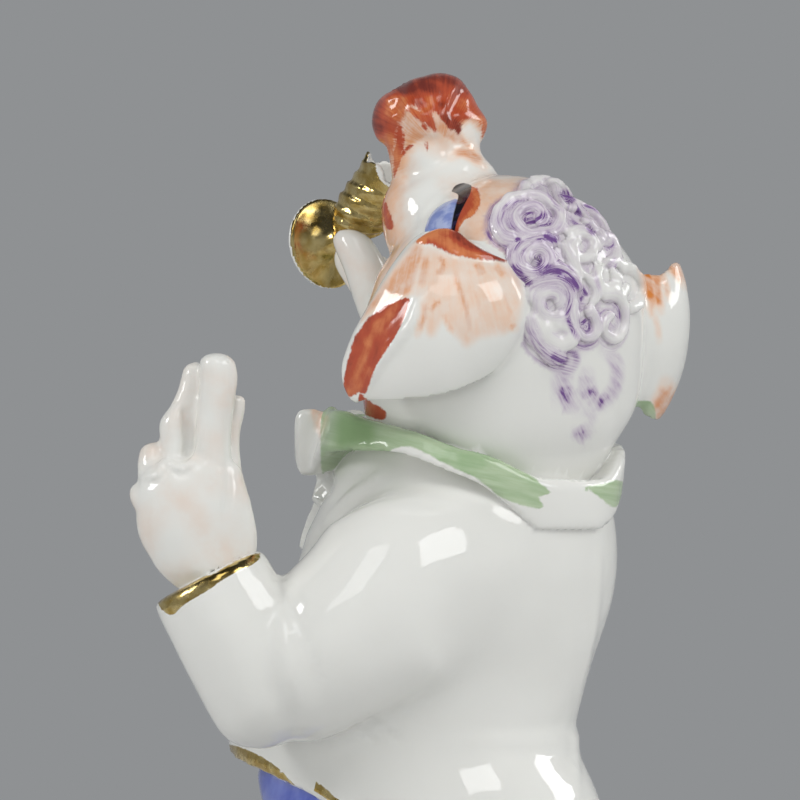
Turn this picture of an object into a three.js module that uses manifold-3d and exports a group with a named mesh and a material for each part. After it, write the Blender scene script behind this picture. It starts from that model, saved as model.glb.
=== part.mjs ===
// Porcelain pig figurine in court dress: head thrown back, left hand raised, a gilt goblet at the mouth.
// Millimetres, +Z up, origin at the centre of the underside. The figure faces -Y and its left is +X.
import * as THREE from "three";
import { mergeVertices } from "three/addons/utils/BufferGeometryUtils.js";
import Module from "manifold-3d";

const wasm = await Module();
wasm.setup();

// Driving sizes
const SHOW_SIDE = THREE.MathUtils.degToRad(110); // the side made to be looked at: left and a little behind
const BASE_HEIGHT = 8;
const BASE_RADIUS = 39;
const BASE_SIDES = 36;
const COAT_WALL = 2.6;
const COAT_VENT = 3;
const CURL_THICKNESS = 1.7;
const GOBLET_FOOT_RADIUS = 7.8;
const BOWL_LENGTH = 11.5;
const BOWL_RADIUS = 6.5;
const BOWL_FLUTES = 9;
const FLUTE_TURN = -0.2; // radians to the millimetre
const NOSTRIL_RADIUS = 1.7;
const MERGING = 4e-3;

// A point of the figure's own frame: to its left, to its back, up
const own = (left, back, up) => new THREE.Vector3(left, back, up);

// A point measured on the show side: across to the right, near towards the viewer, up
const ACROSS = own(Math.cos(SHOW_SIDE), Math.sin(SHOW_SIDE), 0);
const NEAR = own(Math.sin(SHOW_SIDE), -Math.cos(SHOW_SIDE), 0);
const UP = own(0, 0, 1);

function shown(across, near, up) {
  return own(0, 0, up).addScaledVector(ACROSS, across).addScaledVector(NEAR, near);
}

// The head's frame: its centre, and where its snout, its left ear side and its crown point
const HEAD_CENTRE = shown(15, 5.5, 166.7);
const SNOUTWARD = shown(-0.37, -0.25, 0.894).normalize();
const HEAD_LEFT = shown(-0.74, 0.66, -0.12).normalize();
const CROWNWARD = new THREE.Vector3().crossVectors(SNOUTWARD, HEAD_LEFT).normalize();

function onHead(snoutward, left, crownward) {
  const point = HEAD_CENTRE.clone();
  point.addScaledVector(SNOUTWARD, snoutward);
  point.addScaledVector(HEAD_LEFT, left);
  return point.addScaledVector(CROWNWARD, crownward);
}

// A closed mesh as a solid, turned the right way out
function solid(geometry, nearness = 1e-4) {
  const bare = geometry.clone();
  bare.deleteAttribute("normal");
  bare.deleteAttribute("uv");
  const merged = mergeVertices(bare, nearness);
  const build = (triangles) => new wasm.Manifold(new wasm.Mesh({
    numProp: 3,
    vertProperties: new Float32Array(merged.attributes.position.array),
    triVerts: new Uint32Array(triangles),
  }));
  const triangles = Array.from(merged.index.array);
  const form = build(triangles);
  return form.volume() > 0 ? form : build(triangles.reverse());
}

// The outer shell of a solid, with any small hollow sealed inside it filled
function outerShell(form) {
  return form.decompose().reduce((best, shell) => (shell.volume() > best.volume() ? shell : best));
}

// Overlapping solids as one, its nearly equal vertices made one
function join(solids) {
  const whole = solids.reduce((sum, piece) => sum.add(piece));
  return outerShell(solid(toGeometry(outerShell(whole)), MERGING));
}

// How wide a rounded end is at a distance from its tip
function roundEnd(distance, radius) {
  const share = Math.min(distance / Math.max(radius, 1e-6), 1);
  return Math.sqrt(share * (2 - share));
}

// A form whose sections follow a row of stations and whose two ends are rounded.
// A station has its middle, its half width along the form's width, and its half depth across that.
function swept(stations, { sides = 12, rings = 10, ends = [1, 1], ripple = () => 1 } = {}) {
  const middles = new THREE.CatmullRomCurve3(stations.map((s) => s.middle), false, "centripetal");
  const widths = new THREE.CatmullRomCurve3(stations.map((s) => s.width), false, "catmullrom", 0.4);
  const depths = new THREE.CatmullRomCurve3(
    stations.map((s) => own(s.depth, s.bulge ?? 0, 0)), false, "catmullrom", 0.4);
  const length = middles.getLength();
  const grid = new THREE.SphereGeometry(1, sides, rings);
  const place = grid.attributes.position;
  for (let ring = 0; ring <= rings; ring += 1) {
    const even = ring / rings;
    const t = THREE.MathUtils.lerp(even, (1 - Math.cos(Math.PI * even)) / 2, 0.6);
    const middle = middles.getPoint(t);
    const width = widths.getPoint(t);
    const { x: depth, y: bulge } = depths.getPoint(t);
    const tangent = middles.getTangent(t);
    const outward = new THREE.Vector3().crossVectors(tangent, width).normalize();
    const first = roundEnd(t * length, ends[0] * depth);
    const last = roundEnd((1 - t) * length, ends[1] * depth);
    const closing = Math.min(first, last);
    for (let side = 0; side <= sides; side += 1) {
      const angle = (side / sides) * 2 * Math.PI;
      const reach = closing * ripple(angle, t);
      const point = middle.clone();
      const lift = reach * depth * Math.sin(angle) + closing * bulge * Math.sin(angle) ** 2;
      point.addScaledVector(width, reach * Math.cos(angle));
      point.addScaledVector(outward, lift);
      place.setXYZ(ring * (sides + 1) + side, point.x, point.y, point.z);
    }
  }
  return solid(grid);
}

// A limb along its middle line, each station its middle, half width along one direction and half depth
function limb(direction, rows, options) {
  const stations = rows.map(([middle, width, depth]) => ({
    middle,
    width: direction.clone().multiplyScalar(width),
    depth,
  }));
  return swept(stations, options);
}

// A flap between two edges, each station a point of either edge, half the thickness, and the outward bulge
function flap(rows, options) {
  const stations = rows.map(([edge, other, depth, bulge]) => ({
    middle: edge.clone().lerp(other, 0.5),
    width: edge.clone().sub(other).multiplyScalar(0.5),
    depth,
    bulge,
  }));
  return swept(stations, options);
}

// A round bar of one thickness through a row of points
function cord(points, radius, options) {
  return limb(UP, points.map((point) => [point, radius, radius]), options);
}

function ball(centre, radius, sides = 12) {
  const geometry = new THREE.SphereGeometry(radius, sides, Math.round(sides * 0.7));
  geometry.translate(centre.x, centre.y, centre.z);
  return solid(geometry);
}

// A profile turned about an upright axis, as pairs of radius and height that start and end on the axis
function turned(profile, sides) {
  const geometry = new THREE.LatheGeometry(profile.map(([r, h]) => new THREE.Vector2(r, h)), sides);
  geometry.rotateX(Math.PI / 2);
  return geometry;
}

// Moves every point of a geometry to where a rule puts it
function reshape(geometry, rule) {
  const place = geometry.attributes.position;
  for (let i = 0; i < place.count; i += 1) {
    const point = rule(new THREE.Vector3().fromBufferAttribute(place, i));
    place.setXYZ(i, point.x, point.y, point.z);
  }
  return geometry;
}

// Turns an upright geometry to an axis and sets it at a place
function stand(geometry, axis, at) {
  geometry.applyQuaternion(new THREE.Quaternion().setFromUnitVectors(UP, axis));
  geometry.translate(at.x, at.y, at.z);
  return solid(geometry);
}

// The trunk: a barrel of ovals about an upright middle line, wider by a margin where it is the coat
function barrel(rows, margin, options) {
  const stations = rows.map(([up, back, halfWidth, halfDepth]) =>
    [own(0, back, up), halfWidth + margin, halfDepth + margin]);
  return limb(own(1, 0, 0), stations, options);
}

function base() {
  const rim = 2.5;
  const profile = [[0, 0], [BASE_RADIUS - 1, 0], [BASE_RADIUS, 1], [BASE_RADIUS, BASE_HEIGHT - rim - 1.5]];
  for (const turn of [0.3, 0.65, 1]) {
    const angle = turn * Math.PI / 2;
    profile.push([BASE_RADIUS - rim + rim * Math.cos(angle), BASE_HEIGHT - rim + rim * Math.sin(angle)]);
  }
  profile.push([0, BASE_HEIGHT]);
  return solid(turned(profile, BASE_SIDES));
}

// Belly and seat in breeches, narrowing to the thighs
const BELLY = [
  [100, -1.5, 27, 25], [90, -1.2, 28.5, 26], [82, -0.4, 27.8, 24.6], [74, 1, 25.5, 22.5], [66, 1.5, 22, 18],
];

function leg(side, stepForward) {
  const thigh = limb(own(1, 0, 0), [
    [own(side * 11, 2, 78), 13, 14],
    [own(side * 13, 0.5 - stepForward * 0.3, 62), 13, 13.5],
    [own(side * 14.5, -stepForward * 0.7, 49), 10.5, 10.5],
    [own(side * 15, -stepForward, 40), 9.5, 9.5],
  ], { rings: 7, ends: [0.6, 0.35] });
  const garter = limb(own(1, 0, 0), [
    [own(side * 15, -stepForward, 43.5), 10.1, 10.1],
    [own(side * 15, -stepForward, 41.3), 10.4, 10.4],
    [own(side * 15, -stepForward, 39), 10, 10],
  ], { rings: 4, ends: [0.12, 0.12] });
  const calf = limb(own(1, 0, 0), [
    [own(side * 15, -stepForward, 45), 7.6, 7.6],
    [own(side * 15.3, 1.5 - stepForward, 33), 8.2, 8.6],
    [own(side * 15.6, 2 - stepForward, 21), 6.2, 6.4],
    [own(side * 15.8, 2 - stepForward, 9), 5.6, 6],
  ], { sides: 10, rings: 6 });
  const shoe = limb(own(1, 0, 0), [
    [own(side * 15.5, 9 - stepForward, 11.6), 5, 4.6],
    [own(side * 15.9, 3 - stepForward, 12.6), 6.2, 5.6],
    [own(side * 16.6, -6 - stepForward, 11.2), 6.8, 4.6],
    [own(side * 17.2, -14 - stepForward, 9.8), 5, 3.2],
  ], { sides: 10, rings: 7 });
  return [thigh, garter, calf, shoe];
}

// The coat: a thin-walled barrel, cut away in front below the waist and split behind
const COAT = [
  [152, 9, 13, 13], [146, 9, 17.5, 17], [140, 8, 21.5, 20.8], [132, 7.7, 26, 25.3], [123, 6.4, 29.5, 26.6],
  [110, 1.8, 30, 26.4], [97, -2.8, 30.5, 29.2], [90, -2.8, 31, 28.6], [80, -1.4, 32, 30.8], [68, 1.3, 33, 31.9],
  [54, 3.4, 33, 33], [38, 5, 31.5, 33.5],
];
const HEM = [
  [-60, 94], [-34, 91.6], [-11.2, 86], [-5.6, 83.3], [1, 79], [7, 72], [11.5, 62], [14.5, 50], [16, 38],
];

function hemCutter() {
  const curve = new THREE.SplineCurve(HEM.map(([back, up]) => new THREE.Vector2(back, up)));
  const outline = new THREE.Shape(curve.getPoints(24));
  outline.lineTo(16, 0);
  outline.lineTo(-60, 0);
  const wide = 100;
  const geometry = new THREE.ExtrudeGeometry(outline, { depth: wide, bevelEnabled: false });
  geometry.translate(0, 0, -wide / 2);
  geometry.applyMatrix4(new THREE.Matrix4().makeBasis(own(0, 1, 0), own(0, 0, 1), own(1, 0, 0)));
  return solid(geometry);
}

function ventCutter() {
  const outline = new THREE.Shape([[-COAT_VENT, 20], [COAT_VENT, 20], [0.3, 74], [-0.3, 74]]
    .map(([left, up]) => new THREE.Vector2(left, up)));
  const geometry = new THREE.ExtrudeGeometry(outline, { depth: 40, bevelEnabled: false });
  geometry.applyMatrix4(new THREE.Matrix4().makeBasis(own(1, 0, 0), own(0, 0, 1), own(0, -1, 0)));
  geometry.translate(0, 55, 0);
  return solid(geometry);
}

function coat() {
  const folds = (angle, t) => 1 + 0.02 * Math.max(0, t - 0.6) * Math.sin(9 * angle);
  const outside = barrel(COAT, 0, { sides: 24, rings: 12, ends: [0.5, 0.03], ripple: folds });
  const lower = COAT.slice(6).map(([up, ...rest]) => [up === 38 ? 30 : up, ...rest]);
  const inside = barrel(lower, -COAT_WALL, { sides: 18, rings: 6, ends: [0.2, 0.03] });
  return outside.subtract(inside).subtract(hemCutter()).subtract(ventCutter());
}

// The sleeve of the left arm, raised from the elbow
function leftSleeve() {
  const upper = limb(NEAR, [
    [shown(24, 8, 116), 11, 11],
    [shown(11, 19, 120), 14, 15.6],
    [shown(-1.5, 26.5, 118.3), 14, 16.6],
    [shown(-11.5, 30, 111.6), 13.5, 14.6],
    [shown(-20.5, 31.5, 105.8), 12.5, 12.6],
    [shown(-28.8, 32, 103), 11, 10.6],
  ], { sides: 14, rings: 11, ends: [0.6, 0.9] });
  const lower = limb(NEAR, [
    [shown(-21, 32, 94), 9.2, 9.4],
    [shown(-25.2, 32.2, 102), 10.6, 10.2],
    [shown(-30.4, 32.4, 112), 10, 10.3],
    [shown(-35.3, 32, 121.4), 9, 10],
  ], { sides: 14, rings: 9, ends: [0.8, 0.06] });
  return [upper, lower];
}

function leftHand() {
  const palm = limb(ACROSS, [
    [shown(-34.8, 32, 117), 6.4, 4.8],
    [shown(-36.2, 32, 123), 8.5, 5.2],
    [shown(-37.3, 32, 128), 9.8, 5.3],
    [shown(-37.9, 31.9, 133), 9.5, 5.1],
    [shown(-38.4, 31.6, 137.4), 8.7, 4.7],
    [shown(-38.2, 31.4, 141.4), 7.6, 4],
  ], { rings: 8, ends: [1, 0.7] });
  const fingers = [
    [[-34.3, 31.8, 135, 3.5], [-34.7, 32.2, 143, 3.1], [-34.1, 32.5, 149.5, 3.05], [-33.7, 32.6, 154, 3.1],
      [-34.2, 32.5, 157.8, 2.9]],
    [[-40.2, 30.6, 135, 3.2], [-40.5, 30.4, 142.5, 2.9], [-40.7, 30.2, 146.3, 2.9], [-39.4, 29.9, 149.2, 2.3],
      [-38.2, 29.6, 152.6, 2.0], [-37.5, 29.4, 156.3, 1.9]],
    [[-44, 30.8, 133, 2.9], [-44.7, 30, 139, 2.5], [-44.5, 28.6, 142.9, 2.1]],
    [[-43.2, 31, 130.6, 3.6], [-46, 30.6, 133, 3.0], [-48.9, 29.8, 134.6, 2.3]],
    [[-31.6, 30, 127, 3.4], [-31.3, 29.2, 134, 2.5], [-32, 28.4, 139, 2.0], [-32.2, 27.8, 144, 1.9],
      [-31.3, 27.2, 148.4, 1.9], [-31.1, 27, 150.9, 1.8]],
  ];
  return [palm, ...fingers.map(finger)];
}

// One finger through its knuckles, each a place on the show side and a radius
function finger(knuckles) {
  const rows = knuckles.map(([across, near, up, radius]) => [shown(across, near, up), radius, radius]);
  return limb(ACROSS, rows, { sides: 7, rings: 8 });
}

function rightArm() {
  const upper = limb(ACROSS, [
    [shown(8, -14, 132), 12, 12],
    [shown(6, -24, 125), 14, 13],
    [shown(4, -34, 116), 12.5, 12],
    [shown(3, -43, 110), 10.5, 10.5],
  ], { ends: [0.6, 0.9] });
  const lower = limb(ACROSS, [
    [shown(4, -43, 107), 9.5, 9.5],
    [shown(2, -41, 118), 10.2, 10.2],
    [shown(1, -34, 134), 9.4, 9.4],
    [shown(0, -27, 148), 9, 9],
  ], { rings: 9, ends: [0.9, 0.06] });
  const palm = limb(ACROSS, [
    [shown(-0.5, -27, 144), 6, 5],
    [shown(-1, -23.5, 154), 7.6, 5],
    [shown(-2.5, -20, 163), 7.4, 4.8],
    [shown(-5, -18, 170), 6, 4],
  ], { rings: 8 });
  const fingers = [
    [[-4, -16, 158, 3.8], [-6.8, -13.5, 166, 4.1], [-9.2, -14, 172.6, 3.9], [-12.4, -16, 178.7, 3.2]],
    [[-5, -19.5, 163, 3], [-9.4, -20.6, 169, 2.8], [-12, -23, 174, 2.6], [-10.4, -26, 177.4, 2.2]],
    [[-3, -21, 163, 3], [-5, -25, 170, 2.8], [-8.6, -27.6, 174.6, 2.4]],
    [[-1, -21.5, 160, 3], [0, -26.5, 168, 2.6], [-3, -29.5, 172, 2.2]],
  ];
  return [upper, lower, palm, ...fingers.map(finger)];
}

// The goblet: a turned foot and stem, and a fluted bowl that opens towards the mouth
const GOBLET_FOOT = shown(-15.8, -27, 176.5);
const FOOT_AXIS = shown(0.58, 0.8, 0.15).normalize();
const BOWL_START = shown(-13, -22.6, 178.8);
const BOWL_AXIS = shown(0.66, 0.46, 0.6).normalize();

function goblet() {
  const stem = [[2.4, 1.5], [1.8, 3], [1.8, 6.5], [0, 8]];
  const disc = [[0, -0.5], [GOBLET_FOOT_RADIUS - 0.4, -0.5], [GOBLET_FOOT_RADIUS, 0], [4.5, 0.75]];
  const foot = turned([...disc, ...stem], 24);
  const outer = [[0, -0.8], [1.8, -0.5], [3.2, 1], [4.5, 4], [5.5, 8], [BOWL_RADIUS, BOWL_LENGTH]];
  const inner = [[BOWL_RADIUS - 1.2, BOWL_LENGTH], [4.2, 7], [2.6, 3.6], [0, 2.4]];
  const bowl = reshape(turned([...outer, ...inner], BOWL_FLUTES * 3), (point) => {
    const angle = Math.atan2(point.y, point.x);
    const turn = BOWL_FLUTES * (angle + FLUTE_TURN * point.z) / 2;
    const share = THREE.MathUtils.clamp(point.z / 3, 0, 1);
    const swell = 1 + 0.17 * share * (Math.abs(Math.cos(turn)) ** 0.7 - 0.65);
    return own(point.x * swell, point.y * swell, point.z + 0.9 * (swell - 1) * point.z);
  });
  return [stand(foot, FOOT_AXIS, GOBLET_FOOT), stand(bowl, BOWL_AXIS, BOWL_START)];
}

function headAndNeck() {
  const skull = limb(ACROSS, [
    [shown(9, 3.5, 130), 17, 18],
    [shown(12, 4, 142), 20.2, 20],
    [shown(13.4, 5, 150), 22.9, 21.5],
    [shown(13.9, 5.5, 160), 23.6, 22.5],
    [shown(14.6, 5.5, 170), 22.1, 22],
    [shown(14.8, 5.5, 178), 17.5, 20],
    [shown(13.8, 5.5, 187.6), 13.2, 15.6],
  ], { sides: 20, rings: 12, ends: [0.3, 0.62] });
  const muzzle = limb(ACROSS, [
    [shown(13, 4, 165), 14, 14],
    [shown(6.9, 1, 176), 12.4, 12.6],
    [shown(3.9, -0.5, 182), 10.4, 10.8],
    [shown(4.1, -1.6, 187.4), 9, 9],
    [shown(2.4, -2.4, 191.4), 7.8, 7.8],
    [shown(1.6, -3, 196.5), 8.6, 8.6],
  ], { sides: 16, rings: 11, ends: [0.5, 0.3] });
  return [skull, muzzle, snoutDisc()];
}

// The snout's disc, faintly lobed, with two nostrils sunk in its front
function snoutDisc() {
  const lobed = (angle, t) =>
    1 + 0.05 * (Math.cos(4 * angle) - 1) * (1 - t) + 0.03 * Math.sin(3 * angle);
  const disc = limb(ACROSS, [
    [shown(2, -3, 191.2), 7.7, 7.7],
    [shown(1.65, -3.2, 194.2), 9.1, 9],
    [shown(1.6, -3.4, 196.6), 9.7, 9.5],
    [shown(1.1, -3.6, 199.8), 8.4, 8.4],
    [shown(1.9, -3.8, 202.3), 6.6, 6.9],
    [shown(3.4, -4, 204.7), 5, 5.3],
  ], { sides: 16, rings: 10, ends: [0.3, 0.6], ripple: lobed });
  const nostrils = [-3.1, 3.1].map((aside) =>
    ball(shown(-1.6, -5.6, 203).addScaledVector(HEAD_LEFT, aside), NOSTRIL_RADIUS, 10));
  return nostrils.reduce((whole, hollow) => whole.subtract(hollow), disc);
}

// The left ear hangs forward over the cheek, a broad flap from its root to its tip
function leftEar() {
  return flap([
    [shown(19.5, 24, 156.4), shown(18, 21, 175), 3.2, 2],
    [shown(12, 29, 153.6), shown(12, 25.5, 175.4), 2.8, 4],
    [shown(3.5, 31, 150.9), shown(3.6, 24.5, 178), 2.4, 4.8],
    [shown(-4.5, 29.5, 149.9), shown(-1.2, 22.5, 177.2), 2.2, 4.2],
    [shown(-9.5, 27.5, 149.8), shown(-7.6, 21.5, 167), 2.0, 2.5],
    [shown(-12.4, 25, 149), shown(-12.4, 21.5, 156.4), 1.8, 1],
  ], { sides: 14, rings: 11, ends: [1, 1.6] });
}

// The right ear is turned back, its root along the far side of the crown
function rightEar() {
  return flap([
    [shown(30, 3, 170.5), shown(30, 5, 150), 4.2, 1],
    [shown(36, 1.5, 171.4), shown(35.6, 2.5, 149.4), 3.2, 1],
    [shown(40.3, -1, 171.2), shown(38, -1, 147.2), 2.3, 1.5],
    [shown(42.9, -5, 173.4), shown(39.6, -6, 146.5), 1.9, 1.8],
    [shown(43, -10, 171.5), shown(39.4, -12, 147), 1.8, 1.6],
    [shown(40, -18, 166), shown(36.5, -18, 149), 1.7, 1.5],
    [shown(35, -25, 158), shown(34, -25, 152), 1.4, 0.5],
  ], { ends: [1, 1.6] });
}

// Locks of hair: spirals that lie on the skull, each with its middle, its size and its way round
const CURLS = [
  [16, 8, 4.8, 1, 0.4], [6.5, 13, 5, 1, 1.2], [-2, 11.5, 4.6, -1, 0.2],
  [-10, 9, 4.6, 1, 3.4], [8, 1, 4.6, -1, 4.2], [-4, 1.5, 4.6, 1, 2],
  [3, -9, 4.8, 1, 5.2], [-8, -8, 4.6, -1, 1.6],
];
const SKULL_RADIUS = 21.3;

function onSkull(snoutward, left) {
  const flat = Math.hypot(snoutward, left);
  const angle = flat / SKULL_RADIUS;
  const sideways = SKULL_RADIUS * Math.sin(angle) / Math.max(flat, 1e-6);
  return onHead(snoutward * sideways, left * sideways, SKULL_RADIUS * Math.cos(angle));
}

function curls() {
  const windings = 1.35;
  const steps = 12;
  return CURLS.map(([snoutward, left, size, way, start]) => {
    const points = [];
    for (let step = 0; step <= steps; step += 1) {
      const share = step / steps;
      const angle = start + way * share * windings * 2 * Math.PI;
      const reach = size * (1 - 0.82 * share);
      points.push(onSkull(snoutward + reach * Math.cos(angle), left + reach * Math.sin(angle)));
    }
    return cord(points, CURL_THICKNESS, { sides: 5, rings: 13 });
  });
}

// The collar stands round the neck, high in front and low behind, and folds down over the shoulders.
// Its rises are given every 30 degrees round the neck from the back of the show side.
const COLLAR_RISES = [3.0, -0.5, -0.2, 2.8, 4.2, 3.8, 1.9, -1.0, -1.5, -1.0, 0.5, 2.0];

function collarRise(angle) {
  const turn = THREE.MathUtils.euclideanModulo(angle / (2 * Math.PI), 1) * COLLAR_RISES.length;
  const low = Math.floor(turn) % COLLAR_RISES.length;
  const high = (low + 1) % COLLAR_RISES.length;
  const mix = (1 - Math.cos(Math.PI * (turn % 1))) / 2;
  return THREE.MathUtils.lerp(COLLAR_RISES[low], COLLAR_RISES[high], mix);
}

function collar() {
  const rows = [[20, -3], [23, -0.4], [24.2, -0.8], [24.9, -4], [25.3, -11.2], [23.6, -11.8], [19, -9]];
  const section = [...rows, rows[0]];
  return solid(reshape(turned(section, 32), (point) => {
    const angle = Math.atan2(point.y, point.x);
    const reach = Math.hypot(point.x, point.y);
    const short = 1 - 0.27 * Math.max(0, Math.cos(angle - 0.7));
    const across = 9.5 + 0.18 * point.z + reach * 1.03 * Math.cos(angle);
    const near = 3.5 + reach * Math.sin(angle);
    const up = 145.6 - 0.16 * across - 0.2 * near + point.z * short + collarRise(angle);
    return shown(across, near, up);
  }));
}

// The bow tie in front of the collar, two loops and a knot, and the shirt frill below it
function bowTie() {
  const square = (angle) => (Math.cos(angle) ** 4 + Math.sin(angle) ** 4) ** -0.25;
  const knot = ball(own(0, -17.8, 143), 3, 10);
  const loops = [-1, 1].map((side) => flap([
    [own(side * 1, -18, 145), own(side * 1, -18, 140.5), 2, 0],
    [own(side * 6, -17.4, 147.5), own(side * 6, -17.4, 138.5), 2.6, 0],
    [own(side * 12.5, -15.2, 148.8), own(side * 12.5, -14.8, 137), 2.4, 0],
  ], { sides: 12, rings: 6, ends: [1, 0.35], ripple: square }));
  const frill = limb(own(1, 0, 0), [
    [own(0, -12.5, 140), 6, 3.4],
    [own(0, -15, 132), 7, 3.5],
    [own(0, -19.2, 122), 4.5, 2.6],
  ], { sides: 12, rings: 7, ripple: (angle, t) => 1 + 0.12 * Math.sin(6 * angle + 9 * t) });
  return [knot, ...loops, frill];
}

function figurine() {
  return join([
    base(),
    barrel(BELLY, 0, { sides: 18, rings: 6, ends: [0.4, 0.5] }),
    ...leg(1, 0),
    ...leg(-1, 6),
    coat(),
    ...leftSleeve(),
    ...leftHand(),
    ...rightArm(),
    ...goblet(),
    ...headAndNeck(),
    leftEar(),
    rightEar(),
    ...curls(),
    collar(),
    ...bowTie(),
  ]);
}

function toGeometry(form) {
  const mesh = form.getMesh();
  const geometry = new THREE.BufferGeometry();
  geometry.setAttribute("position", new THREE.BufferAttribute(mesh.vertProperties, mesh.numProp));
  geometry.setIndex(new THREE.BufferAttribute(mesh.triVerts, 1));
  geometry.computeVertexNormals();
  return geometry;
}

const porcelain = new THREE.MeshStandardMaterial({ color: 0xe4e5e3, roughness: 0.12, metalness: 0 });
const pig = new THREE.Mesh(toGeometry(figurine()), porcelain);
pig.name = "pig_figurine";

const model = new THREE.Group();
model.add(pig);

export default model;
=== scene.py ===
"""Glazed porcelain pig figurine in court dress: head thrown back, left hand raised, a gilt goblet at the mouth.

Forms are worked in millimetres and brought to metres once they are one piece. "Across", "near" and "up" are
measured on the show side, the side the figurine is made to be looked at from.
"""
import math
import bpy
import bmesh
import numpy as np
from mathutils import Matrix, Vector, noise
from mathutils.bvhtree import BVHTree
from mathutils.kdtree import KDTree


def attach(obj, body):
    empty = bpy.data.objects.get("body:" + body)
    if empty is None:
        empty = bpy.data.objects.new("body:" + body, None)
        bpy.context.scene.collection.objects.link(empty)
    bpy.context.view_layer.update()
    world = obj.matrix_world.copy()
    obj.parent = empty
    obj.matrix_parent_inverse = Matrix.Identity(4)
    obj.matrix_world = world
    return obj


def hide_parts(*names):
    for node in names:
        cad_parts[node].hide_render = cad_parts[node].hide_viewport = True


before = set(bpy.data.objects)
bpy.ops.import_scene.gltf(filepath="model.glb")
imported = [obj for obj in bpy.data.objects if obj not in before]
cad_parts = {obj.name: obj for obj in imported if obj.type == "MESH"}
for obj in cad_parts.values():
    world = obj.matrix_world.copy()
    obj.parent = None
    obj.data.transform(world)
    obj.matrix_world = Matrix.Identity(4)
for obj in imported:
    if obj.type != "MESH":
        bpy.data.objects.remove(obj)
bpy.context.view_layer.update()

NODE = "pig_figurine"
MM = 0.001

# ---------------------------------------------------------------- places

SHOW_SIDE = math.radians(110)
ACROSS = Vector((math.cos(SHOW_SIDE), math.sin(SHOW_SIDE), 0))
NEAR = Vector((math.sin(SHOW_SIDE), -math.cos(SHOW_SIDE), 0))
UP = Vector((0, 0, 1))


def own(left, back, up):
    return Vector((left, back, up))


def shown(across, near, up):
    return ACROSS * across + NEAR * near + UP * up


def seen(*pairs):
    """Places of the 800 x 800 picture, six to the millimetre, as pairs of across and up."""
    return [((x - 420) / 6, (1300 - y) / 6) for x, y in pairs]


HEAD_CENTRE = shown(15, 5.5, 166.7)
SNOUTWARD = shown(-0.37, -0.25, 0.894).normalized()
HEAD_LEFT = shown(-0.74, 0.66, -0.12).normalized()
CROWNWARD = SNOUTWARD.cross(HEAD_LEFT).normalized()
NOSTRIL = shown(-1.6, -5.6, 203)


def mirrored(point):
    """The same place on the other half of the head."""
    away = (point - HEAD_CENTRE).dot(HEAD_LEFT)
    return point - HEAD_LEFT * (2 * away)


# ---------------------------------------------------------------- forms

def hermite(a, b, slope_a, slope_b, u):
    return a + slope_a * u + (3 * (b - a) - 2 * slope_a - slope_b) * u * u + (2 * (a - b) + slope_a + slope_b) * u ** 3


def along(points, t, rounded=True):
    """A place at share t of a smooth line through the points."""
    spans = len(points) - 1
    start = min(int(t * spans), spans - 1)
    u = t * spans - start
    a, b = points[start], points[start + 1]
    before = points[start - 1] if start else a * 2 - b
    after = points[start + 2] if start + 2 <= spans else b * 2 - a
    if not rounded:
        return hermite(a, b, (b - before) * 0.4, (after - a) * 0.4, u)
    gap0, gap1, gap2 = (max((q - p).length ** 0.5, 1e-4) for p, q in ((before, a), (a, b), (b, after)))
    slope_a = ((a - before) / gap0 - (b - before) / (gap0 + gap1) + (b - a) / gap1) * gap1
    slope_b = ((b - a) / gap1 - (after - a) / (gap1 + gap2) + (after - b) / gap2) * gap1
    return hermite(a, b, slope_a, slope_b, u)


def round_end(distance, radius):
    share = min(distance / max(radius, 1e-6), 1)
    return math.sqrt(max(0, share * (2 - share)))


def swept(stations, sides=40, rings=44, ends=(1, 1), ripple=None):
    """A form whose sections follow a row of stations and whose two ends are rounded."""
    form = bmesh.new()
    bmesh.ops.create_uvsphere(form, u_segments=sides, v_segments=rings, radius=1)
    middles = [s[0] for s in stations]
    widths = [s[1] for s in stations]
    depths = [Vector((s[2], s[3] if len(s) > 3 else 0, 0)) for s in stations]
    steps = 200
    trail = [along(middles, i / steps) for i in range(steps + 1)]
    length = sum((q - p).length for p, q in zip(trail, trail[1:]))
    rows = {}
    for vert in form.verts:
        turn = math.acos(max(-1.0, min(1.0, vert.co.z)))
        ring = round(turn / math.pi * rings)
        if ring not in rows:
            even = ring / rings
            t = even * 0.4 + 0.6 * (1 - math.cos(math.pi * even)) / 2
            tangent = along(middles, min(1, t + 1e-3)) - along(middles, max(0, t - 1e-3))
            width = along(widths, t, False)
            depth, bulge, _ = along(depths, t, False)
            outward = tangent.cross(width).normalized()
            closing = min(round_end(t * length, ends[0] * depth), round_end((1 - t) * length, ends[1] * depth))
            rows[ring] = (t, along(middles, t), width, depth, bulge, outward, closing)
        t, middle, width, depth, bulge, outward, closing = rows[ring]
        angle = math.atan2(vert.co.y, vert.co.x)
        reach = closing * (ripple(angle, t) if ripple else 1)
        lift = reach * depth * math.sin(angle) + closing * bulge * math.sin(angle) ** 2
        vert.co = middle + width * (reach * math.cos(angle)) + outward * lift
    if form.calc_volume(signed=True) < 0:
        bmesh.ops.reverse_faces(form, faces=form.faces)
    return form


def limb(direction, rows, **options):
    return swept([(middle, direction * width, depth) for middle, width, depth in rows], **options)


def flap(rows, **options):
    return swept([((edge + other) / 2, (edge - other) / 2, depth, bulge) for edge, other, depth, bulge in rows],
                 **options)


def ball(centre, radius):
    form = bmesh.new()
    bmesh.ops.create_uvsphere(form, u_segments=24, v_segments=16, radius=radius,
                              matrix=Matrix.Translation(centre))
    return form


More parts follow.
